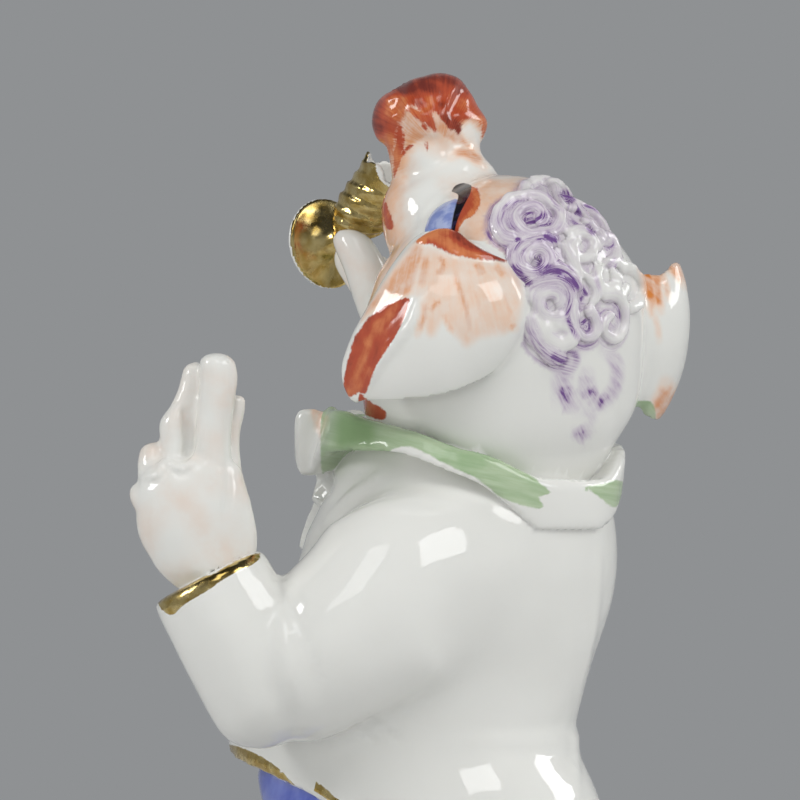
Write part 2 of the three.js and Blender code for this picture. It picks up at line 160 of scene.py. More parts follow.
def turned(profile, steps, ring=False):
    """A profile of radius and height turned about an upright axis; a ring's profile is closed."""
    form = bmesh.new()
    row = [form.verts.new((radius, 0, up)) for radius, up in profile]
    edges = [form.edges.new(pair) for pair in zip(row, row[1:])]
    if ring:
        edges.append(form.edges.new((row[-1], row[0])))
    bmesh.ops.spin(form, geom=row + edges, cent=(0, 0, 0), axis=(0, 0, 1), angle=2 * math.pi, steps=steps,
                   use_merge=True, use_duplicate=False)
    bmesh.ops.remove_doubles(form, verts=form.verts, dist=1e-4)
    bmesh.ops.recalc_face_normals(form, faces=form.faces)
    return form


def smooth_profile(points, count):
    line = [Vector((r, h, 0)) for r, h in points]
    places = [along(line, i / count) for i in range(count + 1)]
    return [(max(0, place.x), place.y) for place in places]


def as_object(forms, name):
    """Overlapping forms joined as one object."""
    whole = bmesh.new()
    for form in forms:
        piece = bpy.data.meshes.new("piece")
        form.to_mesh(piece)
        whole.from_mesh(piece)
        bpy.data.meshes.remove(piece)
    mesh = bpy.data.meshes.new(name)
    whole.to_mesh(mesh)
    whole.free()
    made = bpy.data.objects.new(name, mesh)
    bpy.context.scene.collection.objects.link(made)
    return made


def settle(made):
    """Applies an object's modifiers to its mesh."""
    depsgraph = bpy.context.evaluated_depsgraph_get()
    mesh = bpy.data.meshes.new_from_object(made.evaluated_get(depsgraph))
    old = made.data
    made.modifiers.clear()
    made.data = mesh
    bpy.data.meshes.remove(old)
    return made


def fuse(forms, voxel, rounds, name):
    """Overlapping forms as one skin, with the joints between them rounded as slip rounds them."""
    made = as_object(forms, name)
    remesh = made.modifiers.new("skin", "REMESH")
    remesh.mode = "VOXEL"
    remesh.voxel_size = voxel * 1
    remesh.adaptivity = 0
    if rounds:
        soften = made.modifiers.new("soften", "SMOOTH")
        soften.factor = 0.5
        soften.iterations = rounds
    return settle(made)


def ease(made, first, second, radius, rounds):
    """Rounds the joint between two forms, as slip and a wet sponge do."""
    group = made.vertex_groups.new(name="joint")
    for vert in made.data.vertices:
        one = first.find_nearest(vert.co, radius)[3]
        if one is None:
            continue
        two = second.find_nearest(vert.co, radius)[3]
        if two is None:
            continue
        group.add([vert.index], 1 - (max(one, two) / radius) ** 2, "REPLACE")
    soften = made.modifiers.new("ease", "SMOOTH")
    soften.factor = 0.5
    soften.iterations = rounds
    soften.vertex_group = group.name
    settle(made)
    made.vertex_groups.clear()


def combine(made, other, operation):
    cut = made.modifiers.new("join", "BOOLEAN")
    cut.operation = operation
    cut.solver = "MANIFOLD"
    cut.object = other
    settle(made)
    bpy.data.objects.remove(other)
    return made


# ---------------------------------------------------------------- body and clothes

BELLY = [(100, -1.5, 27, 25), (90, -1.2, 28.5, 26), (82, -0.4, 27.8, 24.6), (74, 1, 25.5, 22.5), (66, 1.5, 22, 18)]
COAT = [
    (152, 9, 13, 13), (146, 9, 17.5, 17), (140, 8, 21.5, 20.8), (132, 7.7, 26, 25.3), (123, 6.4, 29.5, 26.6),
    (110, 1.8, 30, 26.4), (97, -2.8, 30.5, 29.2), (90, -2.8, 31, 28.6), (80, -1.4, 32, 30.8), (68, 1.3, 33, 31.9),
    (54, 3.4, 33, 33), (38, 5, 31.5, 33.5),
]
HEM = [(-60, 94), (-34, 91.6), (-11.2, 86), (-5.6, 83.3), (1, 79), (7, 72), (11.5, 62), (14.5, 50), (16, 38)]
COAT_WALL = 2.6
COAT_VENT = 3


def barrel(rows, margin, **options):
    return limb(own(1, 0, 0), [(own(0, back, up), width + margin, depth + margin)
                               for up, back, width, depth in rows], **options)


def prism(outline, axis, low, high):
    """A straight-sided cutter over an outline, drawn out along one axis."""
    form = bmesh.new()
    place = (lambda a, b, c: own(c, a, b)) if axis == "left" else (lambda a, b, c: own(a, c, b))
    face = form.faces.new([form.verts.new(place(a, b, low)) for a, b in outline])
    grown = bmesh.ops.extrude_face_region(form, geom=[face])
    moved = [part for part in grown["geom"] if isinstance(part, bmesh.types.BMVert)]
    bmesh.ops.translate(form, verts=moved, vec=place(0, 0, high) - place(0, 0, low))
    bmesh.ops.recalc_face_normals(form, faces=form.faces)
    return form


def hem_line(count=60):
    line = [Vector((back, up, 0)) for back, up in HEM]
    return [tuple(along(line, i / count)[:2]) for i in range(count + 1)]


def coat():
    def folds(angle, t):
        return 1 + 0.02 * max(0, t - 0.6) * math.sin(9 * angle)

    outside = barrel(COAT, 0, sides=96, rings=72, ends=(0.5, 0.03), ripple=folds)
    lower = [(30 if up == 38 else up, *rest) for up, *rest in COAT[6:]]
    inside = barrel(lower, -COAT_WALL, sides=72, rings=40, ends=(0.2, 0.03))
    made = as_object([outside], "coat")
    combine(made, as_object([inside], "lining"), "DIFFERENCE")
    combine(made, as_object([prism(hem_line() + [(16, 0), (-60, 0)], "left", -50, 50)], "cut"), "DIFFERENCE")
    vent = [(-COAT_VENT, 20), (COAT_VENT, 20), (0.3, 74), (-0.3, 74)]
    combine(made, as_object([prism(vent, "back", 15, 55)], "cut"), "DIFFERENCE")
    form = bmesh.new()
    form.from_mesh(made.data)
    bpy.data.objects.remove(made)
    return form


def leg(side, step):
    thigh = limb(own(1, 0, 0), [
        (own(side * 11, 2, 78), 13, 14), (own(side * 13, 0.5 - step * 0.3, 62), 13, 13.5),
        (own(side * 14.5, -step * 0.7, 49), 10.5, 10.5), (own(side * 15, -step, 40), 9.5, 9.5),
    ], ends=(0.6, 0.35))
    garter = limb(own(1, 0, 0), [
        (own(side * 15, -step, 43.5), 10.1, 10.1), (own(side * 15, -step, 41.3), 10.4, 10.4),
        (own(side * 15, -step, 39), 10, 10),
    ], ends=(0.12, 0.12), rings=16)
    calf = limb(own(1, 0, 0), [
        (own(side * 15, -step, 45), 7.6, 7.6), (own(side * 15.3, 1.5 - step, 33), 8.2, 8.6),
        (own(side * 15.6, 2 - step, 21), 6.2, 6.4), (own(side * 15.8, 2 - step, 9), 5.6, 6),
    ])
    shoe = limb(own(1, 0, 0), [
        (own(side * 15.5, 9 - step, 11.6), 5, 4.6), (own(side * 15.9, 3 - step, 12.6), 6.2, 5.6),
        (own(side * 16.6, -6 - step, 11.2), 6.8, 4.6), (own(side * 17.2, -14 - step, 9.8), 5, 3.2),
    ])
    return {"thigh": thigh, "garter": garter, "calf": calf, "shoe": shoe}


def left_sleeve():
    upper = limb(NEAR, [
        (shown(24, 8, 116), 11, 11), (shown(11, 19, 120), 14, 15.6), (shown(-1.5, 26.5, 118.3), 14, 16.6),
        (shown(-11.5, 30, 111.6), 13.5, 14.6), (shown(-20.5, 31.5, 105.8), 12.5, 12.6),
        (shown(-28.8, 32, 103), 11, 10.6),
    ], sides=56, rings=56, ends=(0.6, 0.9))
    lower = limb(NEAR, [
        (shown(-21, 32, 94), 9.2, 9.4), (shown(-25.2, 32.2, 102), 10.6, 10.2),
        (shown(-30.4, 32.4, 112), 10, 10.3), (shown(-35.3, 32, 121.4), 9, 10),
    ], sides=56, rings=48, ends=(0.8, 0.06))
    return [upper, lower]


def right_sleeve():
    upper = limb(ACROSS, [
        (shown(8, -14, 132), 12, 12), (shown(6, -24, 125), 14, 13), (shown(4, -34, 116), 12.5, 12),
        (shown(3, -43, 110), 10.5, 10.5),
    ], ends=(0.6, 0.9))
    lower = limb(ACROSS, [
        (shown(4, -43, 107), 9.5, 9.5), (shown(2, -41, 118), 10.2, 10.2), (shown(1, -34, 134), 9.4, 9.4),
        (shown(0, -27, 148), 9, 9),
    ], ends=(0.9, 0.06))
    return [upper, lower]


def finger(knuckles, shift=0.0, direction=ACROSS):
    return limb(direction, [(shown(a + shift, n, u), r, r) for a, n, u, r in knuckles], sides=28, rings=32)


HAND_SHIFT = 0.55


def left_hand():
    palm = limb(ACROSS, [
        (shown(-34.4, 32, 117), 6.4, 4.8), (shown(-35.6, 32, 123), 8.5, 5.2), (shown(-36.7, 32, 128), 9.8, 5.3),
        (shown(-37.3, 31.9, 133), 9.5, 5.1), (shown(-37.6, 31.6, 137.4), 8.5, 4.7), (shown(-37, 31.4, 140.6), 7.2, 4),
    ], ends=(1, 0.7))
    little = finger([(-41.6, 31, 129.6, 3.4), (-44.4, 30.6, 132.4, 3.0), (-47.9, 29.8, 134.7, 2.5)], 0, UP)
    fingers = [
        [(-34.3, 31.8, 135, 3.5), (-34.7, 32.2, 143, 3.1), (-34.1, 32.5, 149.5, 3.05), (-33.7, 32.6, 154, 3.1),
         (-34.2, 32.5, 157.8, 2.9)],
        [(-40.2, 30.6, 135, 3.2), (-40.5, 30.4, 142.5, 2.9), (-40.7, 30.2, 146.3, 2.9), (-39.4, 29.9, 149.2, 2.3),
         (-38.2, 29.6, 152.6, 2.0), (-37.5, 29.4, 156.3, 1.9)],
        [(-44, 30.8, 133, 2.9), (-44.7, 30, 139, 2.5), (-44.5, 28.6, 142.9, 2.1)],
        [(-31.6, 30, 127, 3.4), (-31.3, 29.2, 134, 2.5), (-32, 28.4, 139, 2.0), (-32.2, 27.8, 144, 1.9),
         (-31.3, 27.2, 148.4, 1.9), (-31.1, 27, 150.9, 1.8)],
    ]
    return [palm, little, *(finger(knuckles, HAND_SHIFT) for knuckles in fingers)]


def right_hand():
    palm = limb(ACROSS, [
        (shown(-0.5, -27, 144), 6, 5), (shown(-1, -23.5, 154), 7.6, 5), (shown(-2.5, -20, 163), 7.4, 4.8),
        (shown(-5, -18, 170), 6, 4),
    ])
    fingers = [
        [(-4, -16, 158, 3.8), (-6.8, -13.5, 166, 4.1), (-9.2, -14, 172.6, 3.9), (-12.4, -16, 178.7, 3.2)],
        [(-5, -19.5, 163, 3), (-9.4, -20.6, 169, 2.8), (-12, -23, 174, 2.6), (-10.4, -26, 177.4, 2.2)],
        [(-3, -21, 163, 3), (-5, -25, 170, 2.8), (-8.6, -27.6, 174.6, 2.4)],
        [(-1, -21.5, 160, 3), (0, -26.5, 168, 2.6), (-3, -29.5, 172, 2.2)],
    ]
    return [palm, *(finger(knuckles) for knuckles in fingers)]


def collar():
    rows = [(20, -3), (22.2, -1.2), (23.3, -0.3), (24.2, -0.8), (24.8, -4), (25.2, -8), (25.3, -11.2),
            (24.6, -12), (23.4, -11.4), (19, -9)]
    rises = [3.0, -0.5, -0.2, 2.8, 4.2, 3.8, 1.9, -1.0, -1.5, -1.0, 0.5, 2.0]
    form = turned(smooth_profile([*rows, rows[0]], 60)[:-1], 120, ring=True)
    for vert in form.verts:
        angle = math.atan2(vert.co.y, vert.co.x)
        reach = math.hypot(vert.co.x, vert.co.y)
        short = 1 - 0.27 * max(0, math.cos(angle - 0.7))
        if abs(angle - 2.05) < 0.95:
            short -= 0.6 * math.cos((angle - 2.05) * math.pi / 1.9) ** 0.8
        across = 9.5 + 0.18 * vert.co.z + reach * 1.03 * math.cos(angle)
        near = 3.5 + reach * math.sin(angle)
        turn = (angle / (2 * math.pi)) % 1 * len(rises)
        low = int(turn)
        mix = (1 - math.cos(math.pi * (turn - low))) / 2
        rise = rises[low % len(rises)] * (1 - mix) + rises[(low + 1) % len(rises)] * mix
        vert.co = shown(across, near, 145.6 - 0.16 * across - 0.2 * near + vert.co.z * short + rise)
    bmesh.ops.recalc_face_normals(form, faces=form.faces)
    return form


def bow_tie():
    def square(angle, t):
        return (math.cos(angle) ** 4 + math.sin(angle) ** 4) ** -0.25

    knot = ball(own(0, -17.8, 143), 3)
    loops = [flap([
        (own(side * 1, -18, 145), own(side * 1, -18, 140.5), 2, 0),
        (own(side * 6, -17.4, 147.5), own(side * 6, -17.4, 138.5), 2.6, 0),
        (own(side * 12.5, -15.2, 148.8), own(side * 12.5, -14.8, 137), 2.4, 0),
    ], ends=(1, 0.35), ripple=square) for side in (-1, 1)]
    frill = limb(own(1, 0, 0), [
        (own(0, -12.5, 140), 6, 3.4), (own(0, -15, 132), 7, 3.5), (own(0, -19.2, 122), 4.5, 2.6),
    ], sides=72, ripple=lambda angle, t: 1 + 0.12 * math.sin(6 * angle + 9 * t))
    return [knot, *loops, frill]


# ---------------------------------------------------------------- head

def skull():
    return limb(ACROSS, [
        (shown(9, 3.5, 130), 17, 18), (shown(12, 4, 142), 20.2, 20), (shown(13.4, 5, 150), 22.9, 21.5),
        (shown(13.9, 5.5, 160), 23.6, 22.5), (shown(14.6, 5.5, 170), 22.1, 22), (shown(14.8, 5.5, 178), 17.5, 20),
        (shown(13.8, 5.5, 187.6), 13.2, 15.6),
    ], sides=96, rings=72, ends=(0.3, 0.62))


def muzzle():
    return limb(ACROSS, [
        (shown(13, 4, 165), 14, 14), (shown(6.9, 1, 176), 12.4, 12.6), (shown(3.9, -0.5, 182), 10.4, 10.8),
        (shown(4.1, -1.6, 187.4), 9, 9), (shown(2.4, -2.4, 191.4), 7.8, 7.8), (shown(1.6, -3, 196.5), 8.6, 8.6),
    ], sides=72, rings=60, ends=(0.5, 0.3))


def snout_disc():
    def lobed(angle, t):
        return 1 + 0.05 * (math.cos(4 * angle) - 1) * (1 - t) + 0.03 * math.sin(3 * angle)

    form = limb(ACROSS, [
        (shown(2, -3, 191.2), 7.7, 7.7), (shown(1.65, -3.2, 194.2), 9.1, 9), (shown(1.6, -3.4, 196.6), 9.7, 9.5),
        (shown(1.1, -3.6, 199.8), 8.4, 8.4), (shown(1.9, -3.8, 202.3), 6.6, 6.9), (shown(3.4, -4, 204.7), 5, 5.3),
    ], sides=96, rings=64, ends=(0.3, 0.6), ripple=lobed)
    made = as_object([form], "disc")
    for side in (-1, 1):
        combine(made, as_object([ball(NOSTRIL + HEAD_LEFT * side * 3.1, 1.7)], "hollow"), "DIFFERENCE")
    form = bmesh.new()
    form.from_mesh(made.data)
    bpy.data.objects.remove(made)
    return form


def left_ear():
    return flap([
        (shown(15, 24.0, 158.2), shown(13.9, 21.2, 173.8), 3.1, 2.4), (shown(10.6, 28.8, 153.6), shown(10.6, 25.4, 175.4), 2.8, 4),
        (shown(3.5, 31, 150.9), shown(3.6, 24.5, 178), 2.4, 4.8),
        (shown(-4.5, 29.5, 149.9), shown(-0.9, 22.5, 176.8), 2.2, 4.2),
        (shown(-9.3, 27.5, 149.8), shown(-6.7, 21.5, 166.4), 2, 2.5),
        (shown(-12, 25, 149.2), shown(-11.6, 21.5, 155.8), 1.8, 1),
    ], sides=72, rings=72, ends=(1, 1.6))


def right_ear():
    return flap([
        (shown(30, 3, 170.5), shown(30, 5, 150), 4.2, 1), (shown(36, 1.5, 171.4), shown(35.6, 2.5, 149.4), 3.2, 1),
        (shown(40.3, -1, 171.2), shown(38, -1, 147.2), 2.3, 1.5),
        (shown(42.9, -5, 173.4), shown(39.6, -6, 146.5), 1.9, 1.8),
        (shown(43, -10, 171.5), shown(39.4, -12, 147), 1.8, 1.6),
        (shown(40, -18, 166), shown(36.5, -18, 149), 1.7, 1.5), (shown(35, -25, 158), shown(34, -25, 152), 1.4, 0.5),
    ], sides=64, rings=64, ends=(1, 1.6))


# Locks of hair as lines on the show side: the places of the picture they run through, their half width at
# the start and the end in millimetres, and how strongly the violet is laid on
LOCKS = [
    ([(527, 203), (525, 191), (532, 184), (545, 182), (553, 190), (557, 203), (562, 213)], 1.2, 0.9, 0.5),
    ([(545, 185), (556, 188), (564, 195), (568, 205), (570, 215)], 1.2, 0.9, 0.9),
    ([(517, 243), (504, 239), (497, 227), (501, 212), (515, 202), (533, 200), (549, 207), (558, 218),
      (555, 230), (543, 237), (529, 237), (517, 229), (514, 219), (520, 211), (532, 209), (541, 215),
      (539, 223), (531, 226)], 1.35, 1.0, 0.75),
    ([(555, 249), (546, 241), (532, 240), (519, 245), (512, 257), (515, 269), (525, 275), (537, 275),
      (546, 267), (546, 256), (538, 250), (529, 253), (526, 262), (533, 266)], 1.3, 1.1, 0.8),
    ([(524, 283), (536, 276), (551, 271), (564, 275), (573, 284), (578, 296)], 1.5, 1.1, 1.3),
    ([(526, 306), (528, 291), (541, 284), (556, 283), (566, 292), (567, 305), (561, 316), (548, 318),
      (539, 312), (537, 301), (545, 293), (555, 294), (558, 302), (552, 308)], 1.25, 1.0, 0.55),
    ([(526, 313), (529, 330), (538, 345), (552, 356), (568, 361)], 1.5, 1.2, 0.8),
    ([(537, 321), (543, 336), (555, 344), (567, 340), (570, 330), (559, 325), (549, 327)], 1.3, 1.2, 0.2),
    ([(561, 240), (566, 253), (573, 268), (580, 284)], 1.2, 1.0, 0.6),
    ([(564, 240), (575, 235), (587, 239), (591, 250), (585, 259), (574, 259), (570, 250), (575, 244),
      (582, 249)], 1.2, 0.9, 0.4),
    ([(592, 263), (590, 252), (597, 243), (607, 241), (614, 252), (611, 262), (605, 264), (601, 257)],
     1.2, 0.9, 0.5),
    ([(567, 205), (581, 210), (594, 219), (603, 231), (607, 243), (601, 242), (595, 232), (588, 228)],
     1.3, 0.9, 0.8),
    ([(615, 268), (627, 270), (636, 279), (639, 293), (634, 305), (625, 308), (619, 299), (622, 290),
      (631, 290)], 1.2, 0.9, 0.1),
    ([(600, 266), (594, 276), (596, 286), (605, 290), (614, 285), (612, 276), (605, 275)], 1.1, 0.9, 0.15),
    ([(597, 295), (610, 295), (619, 303), (622, 317), (620, 331), (611, 339), (602, 333), (601, 322),
      (608, 317), (613, 322)], 1.2, 0.9, 0.5),
    ([(573, 299), (570, 312), (573, 327), (582, 338), (591, 335), (593, 322), (587, 313), (580, 318)],
     1.2, 1.0, 0.7),
    ([(579, 273), (587, 281), (593, 291), (591, 302), (583, 303)], 1.1, 0.9, 0.5),
    ([(557, 198), (567, 203), (577, 211), (585, 221), (589, 232)], 1.0, 0.8, 1.0),
    ([(577, 221), (586, 226), (595, 233)], 1.2, 0.9, 0.8),
]


LOCK_STAND = 0.15
LOCK_BREADTH = 1.2
LOCK_HEIGHT = 0.6
LOCK_LUMPS = 0.45


def smooth_line(points, step=0.25):
    """A smooth line through flat points, cut to short even steps."""
    line = [Vector((a, b, 0)) for a, b in points]
    fine = [along(line, i / 400) for i in range(401)]
    kept = [fine[0]]
    for point in fine[1:]:
        if (point - kept[-1]).length >= step:
            kept.append(point)
    return kept


def lock_lines(ground):
    """Each lock's middle line, laid on the skull, and the same on the head's other half."""
    lines = []
    for places, start, end, violet in LOCKS:
        line = []
        for point in smooth_line(seen(*places), 0.5):
            hit, normal, _, _ = ground.ray_cast(shown(point.x, 80, point.y), -NEAR)
            if hit is None:
                hit, normal, _, _ = ground.find_nearest(shown(point.x, 8, point.y))
            line.append(hit + normal * LOCK_STAND)
        lines.append((line, start, end, violet))
        other = [ground.find_nearest(mirrored(point)) for point in line]
        if all(normal.dot(NEAR) < 0.15 for _, normal, _, _ in other):
            lines.append(([hit + normal * LOCK_STAND for hit, normal, _, _ in other], start, end, violet))
    return lines


def lock(line, start, end):
    form = bmesh.new()
    sides = 12
    rings = max(8, len(line))
    bmesh.ops.create_uvsphere(form, u_segments=sides, v_segments=rings, radius=1)
    length = sum((q - p).length for p, q in zip(line, line[1:]))
    for vert in form.verts:
        turn = math.acos(max(-1.0, min(1.0, vert.co.z)))
        t = round(turn / math.pi * rings) / rings
        radius = (start + (end - start) * t) * LOCK_BREADTH
        closing = min(round_end(t * length, radius), round_end((1 - t) * length, radius))
        tangent = along(line, min(1, t + 1e-3)) - along(line, max(0, t - 1e-3))
        side = tangent.cross(NEAR + UP * 0.01).normalized()
        lift = side.cross(tangent).normalized()
        angle = math.atan2(vert.co.y, vert.co.x)
        lumpy = radius * closing * (1 + LOCK_LUMPS * noise.noise(along(line, t) / 2.2))
        vert.co = along(line, t) + (side * math.cos(angle) + lift * math.sin(angle) * LOCK_HEIGHT) * lumpy
    if form.calc_volume(signed=True) < 0:
        bmesh.ops.reverse_faces(form, faces=form.faces)
    return form


# ---------------------------------------------------------------- goblet and base

GOBLET_FOOT = shown(-15.8, -27, 176.5)
FOOT_AXIS = shown(0.58, 0.8, 0.15).normalized()
BOWL_START = shown(-13, -22.6, 178.8)
BOWL_AXIS = shown(0.66, 0.46, 0.6).normalized()
BOWL_LENGTH = 13.8
BOWL_FLUTES = 6
BOWL_LEAN = 0.42  # the near side of the rim stands higher
FLUTE_TURN = -0.42  # radians to the millimetre


def placed(form, axis, place):
    turn = UP.rotation_difference(axis).to_matrix()
    for vert in form.verts:
        vert.co = place + turn @ vert.co
    return form


def goblet():
    foot = turned(smooth_profile([(0, -0.4), (4, -0.3), (7.2, -0.5), (7.8, -0.1), (7.6, 0.4), (6.2, 0.9), (4.4, 1.8),
                                  (2.8, 3.4), (2.0, 5.2), (2, 7), (0, 8.5)], 90), 96)
    placed(foot, FOOT_AXIS, GOBLET_FOOT)
    shell = [(0, -0.8), (1.8, -0.5), (3.2, 1), (4.5, 4), (5.2, 7.5), (5.7, 11), (6.4, BOWL_LENGTH), (5.8, BOWL_LENGTH),
             (4.9, 10.8), (4.2, 7.6), (3.4, 4.6), (1.8, 2.6), (0, 2.2)]
    bowl = turned(smooth_profile(shell, 110), 126)
    for vert in bowl.verts:
        angle = math.atan2(vert.co.y, vert.co.x)
        turn = BOWL_FLUTES * (angle + FLUTE_TURN * vert.co.z) / 2
        swell = 1 + 0.3 * max(0, min(1, vert.co.z / 3)) * (abs(math.cos(turn)) ** 0.6 - 0.7)
        vert.co = Vector((vert.co.x * swell, vert.co.y * swell, vert.co.z + 0.9 * (swell - 1) * vert.co.z))
    placed(bowl, BOWL_AXIS, BOWL_START)
    towards = NEAR * 0.8 + ACROSS * 0.3 - UP * 0.3
    towards = (towards - BOWL_AXIS * towards.dot(BOWL_AXIS)).normalized()
    for vert in bowl.verts:
        offset = vert.co - BOWL_START
        risen = max(0, min(1, offset.dot(BOWL_AXIS) / BOWL_LENGTH)) ** 2
        vert.co += BOWL_AXIS * (BOWL_LEAN * risen * offset.dot(towards))
    return [foot, bowl]


def base():
    profile = [(0, 0), (37.6, 0), (38, 0.05), (38.7, 0.4), (39, 1), (39, 4.3), (38.8, 5.6), (38.2, 6.7), (37.2, 7.6),
               (36, 8), (30, 8.02), (0, 8.05)]
    return turned(profile, 180)


# ---------------------------------------------------------------- making the piece

def tree_of(form):
    return BVHTree.FromBMesh(form)


HEAD_FORMS = {"skull": skull(), "muzzle": muzzle(), "disc": snout_disc(), "left_ear": left_ear(),
              "right_ear": right_ear()}
skull_ground = tree_of(HEAD_FORMS["skull"])
LINES = lock_lines(skull_ground)
hair = [lock(line, start, end) for line, start, end, _ in LINES]
LEGS = {1: leg(1, 0), -1: leg(-1, 6)}
belly = barrel(BELLY, 0, sides=72, rings=40, ends=(0.4, 0.5))
coat_form = coat()
collar_form = collar()

TREES = {
    "skull": skull_ground,
    "left_ear": tree_of(HEAD_FORMS["left_ear"]),
    "right_ear": tree_of(HEAD_FORMS["right_ear"]),
    "disc": tree_of(HEAD_FORMS["disc"]),
    "muzzle": tree_of(HEAD_FORMS["muzzle"]),
    "collar": tree_of(collar_form),
}

left_arm = left_sleeve()
right_arm = right_sleeve()
pig = fuse([coat_form, belly, *left_arm, *right_arm,
            *(form for side in LEGS.values() for form in side.values())], 0.95, 5, NODE)
ease(pig, tree_of(coat_form), tree_of(left_arm[0]), 6, 60)
ease(pig, tree_of(coat_form), tree_of(right_arm[0]), 4, 30)
head_skin = fuse(HEAD_FORMS.values(), 0.54, 2, "head")
ease(head_skin, TREES["skull"], TREES["right_ear"], 2.6, 30)
ease(head_skin, TREES["skull"], TREES["left_ear"], 1.8, 18)
ease(head_skin, TREES["skull"], TREES["muzzle"], 2.2, 30)
zones = [
    head_skin,
    fuse(hair, 0.42, 3, "hair"),
    fuse(left_hand(), 0.55, 3, "left_hand"),
    fuse(right_hand(), 0.75, 3, "right_hand"),
    fuse([collar_form, *bow_tie()], 0.8, 2, "collar"),
    fuse(goblet(), 0.38, 1, "goblet"),
    as_object([base()], "base"),
]
ZONES = ["body", "head", "hair", "left_hand", "right_hand", "collar", "goblet", "base"]


def thin(made, ratio, weight):
    """Fewer faces where the weight of a place is 1, as many as before where it is 0."""
    group = made.vertex_groups.new(name="plain")
    for vert in made.data.vertices:
        group.add([vert.index], weight(vert.co), "REPLACE")
    fewer = made.modifiers.new("fewer", "DECIMATE")
    fewer.ratio = ratio
    fewer.vertex_group = group.name
    fewer.vertex_group_factor = 10
    fewer.use_collapse_triangulate = True
    settle(made)
    made.vertex_groups.clear()


thin(pig, 0.37, lambda co: 1.0 if co.z < 72 else 0.15)
thin(head_skin, 0.58, lambda co: 1.0 if co.dot(NEAR) < -3 or co.z < 152 else 0.06)
for number, zone in enumerate([pig, *zones]):
    for _ in ZONES:
        zone.data.materials.append(None)
    zone.data.polygons.foreach_set("material_index", [number] * len(zone.data.polygons))
for zone in zones:
    combine(pig, zone, "UNION")

def cleaned(made):
    """Deletes what the joining leaves behind: faces laid double and crumbs that hang on nothing."""
    form = bmesh.new()
    form.from_mesh(made.data)
    bmesh.ops.triangulate(form, faces=form.faces)
    doubled = [None]
    while doubled:
        same = {}
        for face in form.faces:
            same.setdefault(frozenset(face.verts), []).append(face)
        doubled = [face for faces in same.values() if len(faces) > 1 for face in faces]
        bmesh.ops.delete(form, geom=doubled, context="FACES")
    left, islands = set(form.verts), []
    while left:
        island, front = set(), [left.pop()]
        while front:
            vert = front.pop()
            island.add(vert)
            nearby = {edge.other_vert(vert) for edge in vert.link_edges} & left
            left -= nearby
            front.extend(nearby)
        islands.append(island)
    islands.sort(key=len)
    bmesh.ops.delete(form, geom=[vert for island in islands[:-1] for vert in island], context="VERTS")
    form.to_mesh(made.data)
    form.free()


cleaned(pig)


# ---------------------------------------------------------------- reading the joined skin

class Skin:
    """The joined skin's places, normals and zones, and its places on the show side."""

    def __init__(self, mesh):
        count = len(mesh.vertices)
        self.place = np.empty(count * 3)
        mesh.vertices.foreach_get("co", self.place)
        self.place = self.place.reshape(-1, 3)
        self.normal = np.empty(count * 3)
        mesh.vertex_normals.foreach_get("vector", self.normal)
        self.normal = self.normal.reshape(-1, 3)
        corner_vert = np.empty(len(mesh.loops), int)
        mesh.loops.foreach_get("vertex_index", corner_vert)
        sizes = np.empty(len(mesh.polygons), int)
        mesh.polygons.foreach_get("loop_total", sizes)
        marks = np.empty(len(mesh.polygons), int)
        mesh.polygons.foreach_get("material_index", marks)
        self.zone = np.zeros(count, int)
        self.zone[corner_vert] = np.repeat(marks, sizes)
        self.across = self.place @ np.array(ACROSS)
        self.near = self.place @ np.array(NEAR)
        self.up = self.place[:, 2]
        self.facing = self.normal @ np.array(NEAR)

    def of(self, *names):
        return np.isin(self.zone, [ZONES.index(name) for name in names])


def reach_of(tree, skin, chosen, limit=4.0):
    """How far each chosen place lies from a form's surface, up to a limit."""
    far = np.full(len(skin.place), limit)
    for index in np.flatnonzero(chosen):
        distance = tree.find_nearest(Vector(skin.place[index]), limit)[3]
        if distance is not None:
            far[index] = distance
    return far


def closed_line(points, spans=6):
    ring = [Vector((a, b, 0)) for a, b in points]
    total = len(ring)
    line = []
    for i in range(total):
        before, a, b, after = (ring[(i + k) % total] for k in (-1, 0, 1, 2))
        for step in range(spans):
            line.append(hermite(a, b, (b - before) * 0.4, (after - a) * 0.4, step / spans))
    return np.array([(p.x, p.y) for p in line])


def to_segments(a, b, starts, ends):
    """Least distance from flat places to segments, and the share of the line where it is reached."""
    best = np.full(len(a), 1e9)
    share = np.zeros(len(a))
    total = len(starts)
    for i, (start, end) in enumerate(zip(starts, ends)):
        run = end - start
        size = max(run @ run, 1e-12)
        t = np.clip(((a - start[0]) * run[0] + (b - start[1]) * run[1]) / size, 0, 1)
        d = np.hypot(a - start[0] - t * run[0], b - start[1] - t * run[1])
        nearer = d < best
        best[nearer] = d[nearer]
        share[nearer] = ((i + t) / total)[nearer]
    return best, share


def within(a, b, outline):
    """Distance in millimetres inside a closed outline, negative outside it."""
    line = closed_line(outline)
    after = np.roll(line, -1, axis=0)
    distance, _ = to_segments(a, b, line, after)
    crossings = np.zeros(len(a), bool)
    for (x0, y0), (x1, y1) in zip(line, after):
        if y0 == y1:
            continue
        hit = ((y0 > b) != (y1 > b)) & (a < (x1 - x0) * (b - y0) / (y1 - y0) + x0)
        crossings ^= hit
    return np.where(crossings, distance, -distance)


def beside(a, b, points):
    """Distance in millimetres from an open line, and the share of it passed."""
    line = np.array([(p.x, p.y) for p in smooth_line(points, 0.4)])
    return to_segments(a, b, line[:-1], line[1:])


def smoothstep(low, high, value):
    t = np.clip((value - low) / (high - low), 0, 1)
    return t * t * (3 - 2 * t)


# ---------------------------------------------------------------- painted and modelled outlines

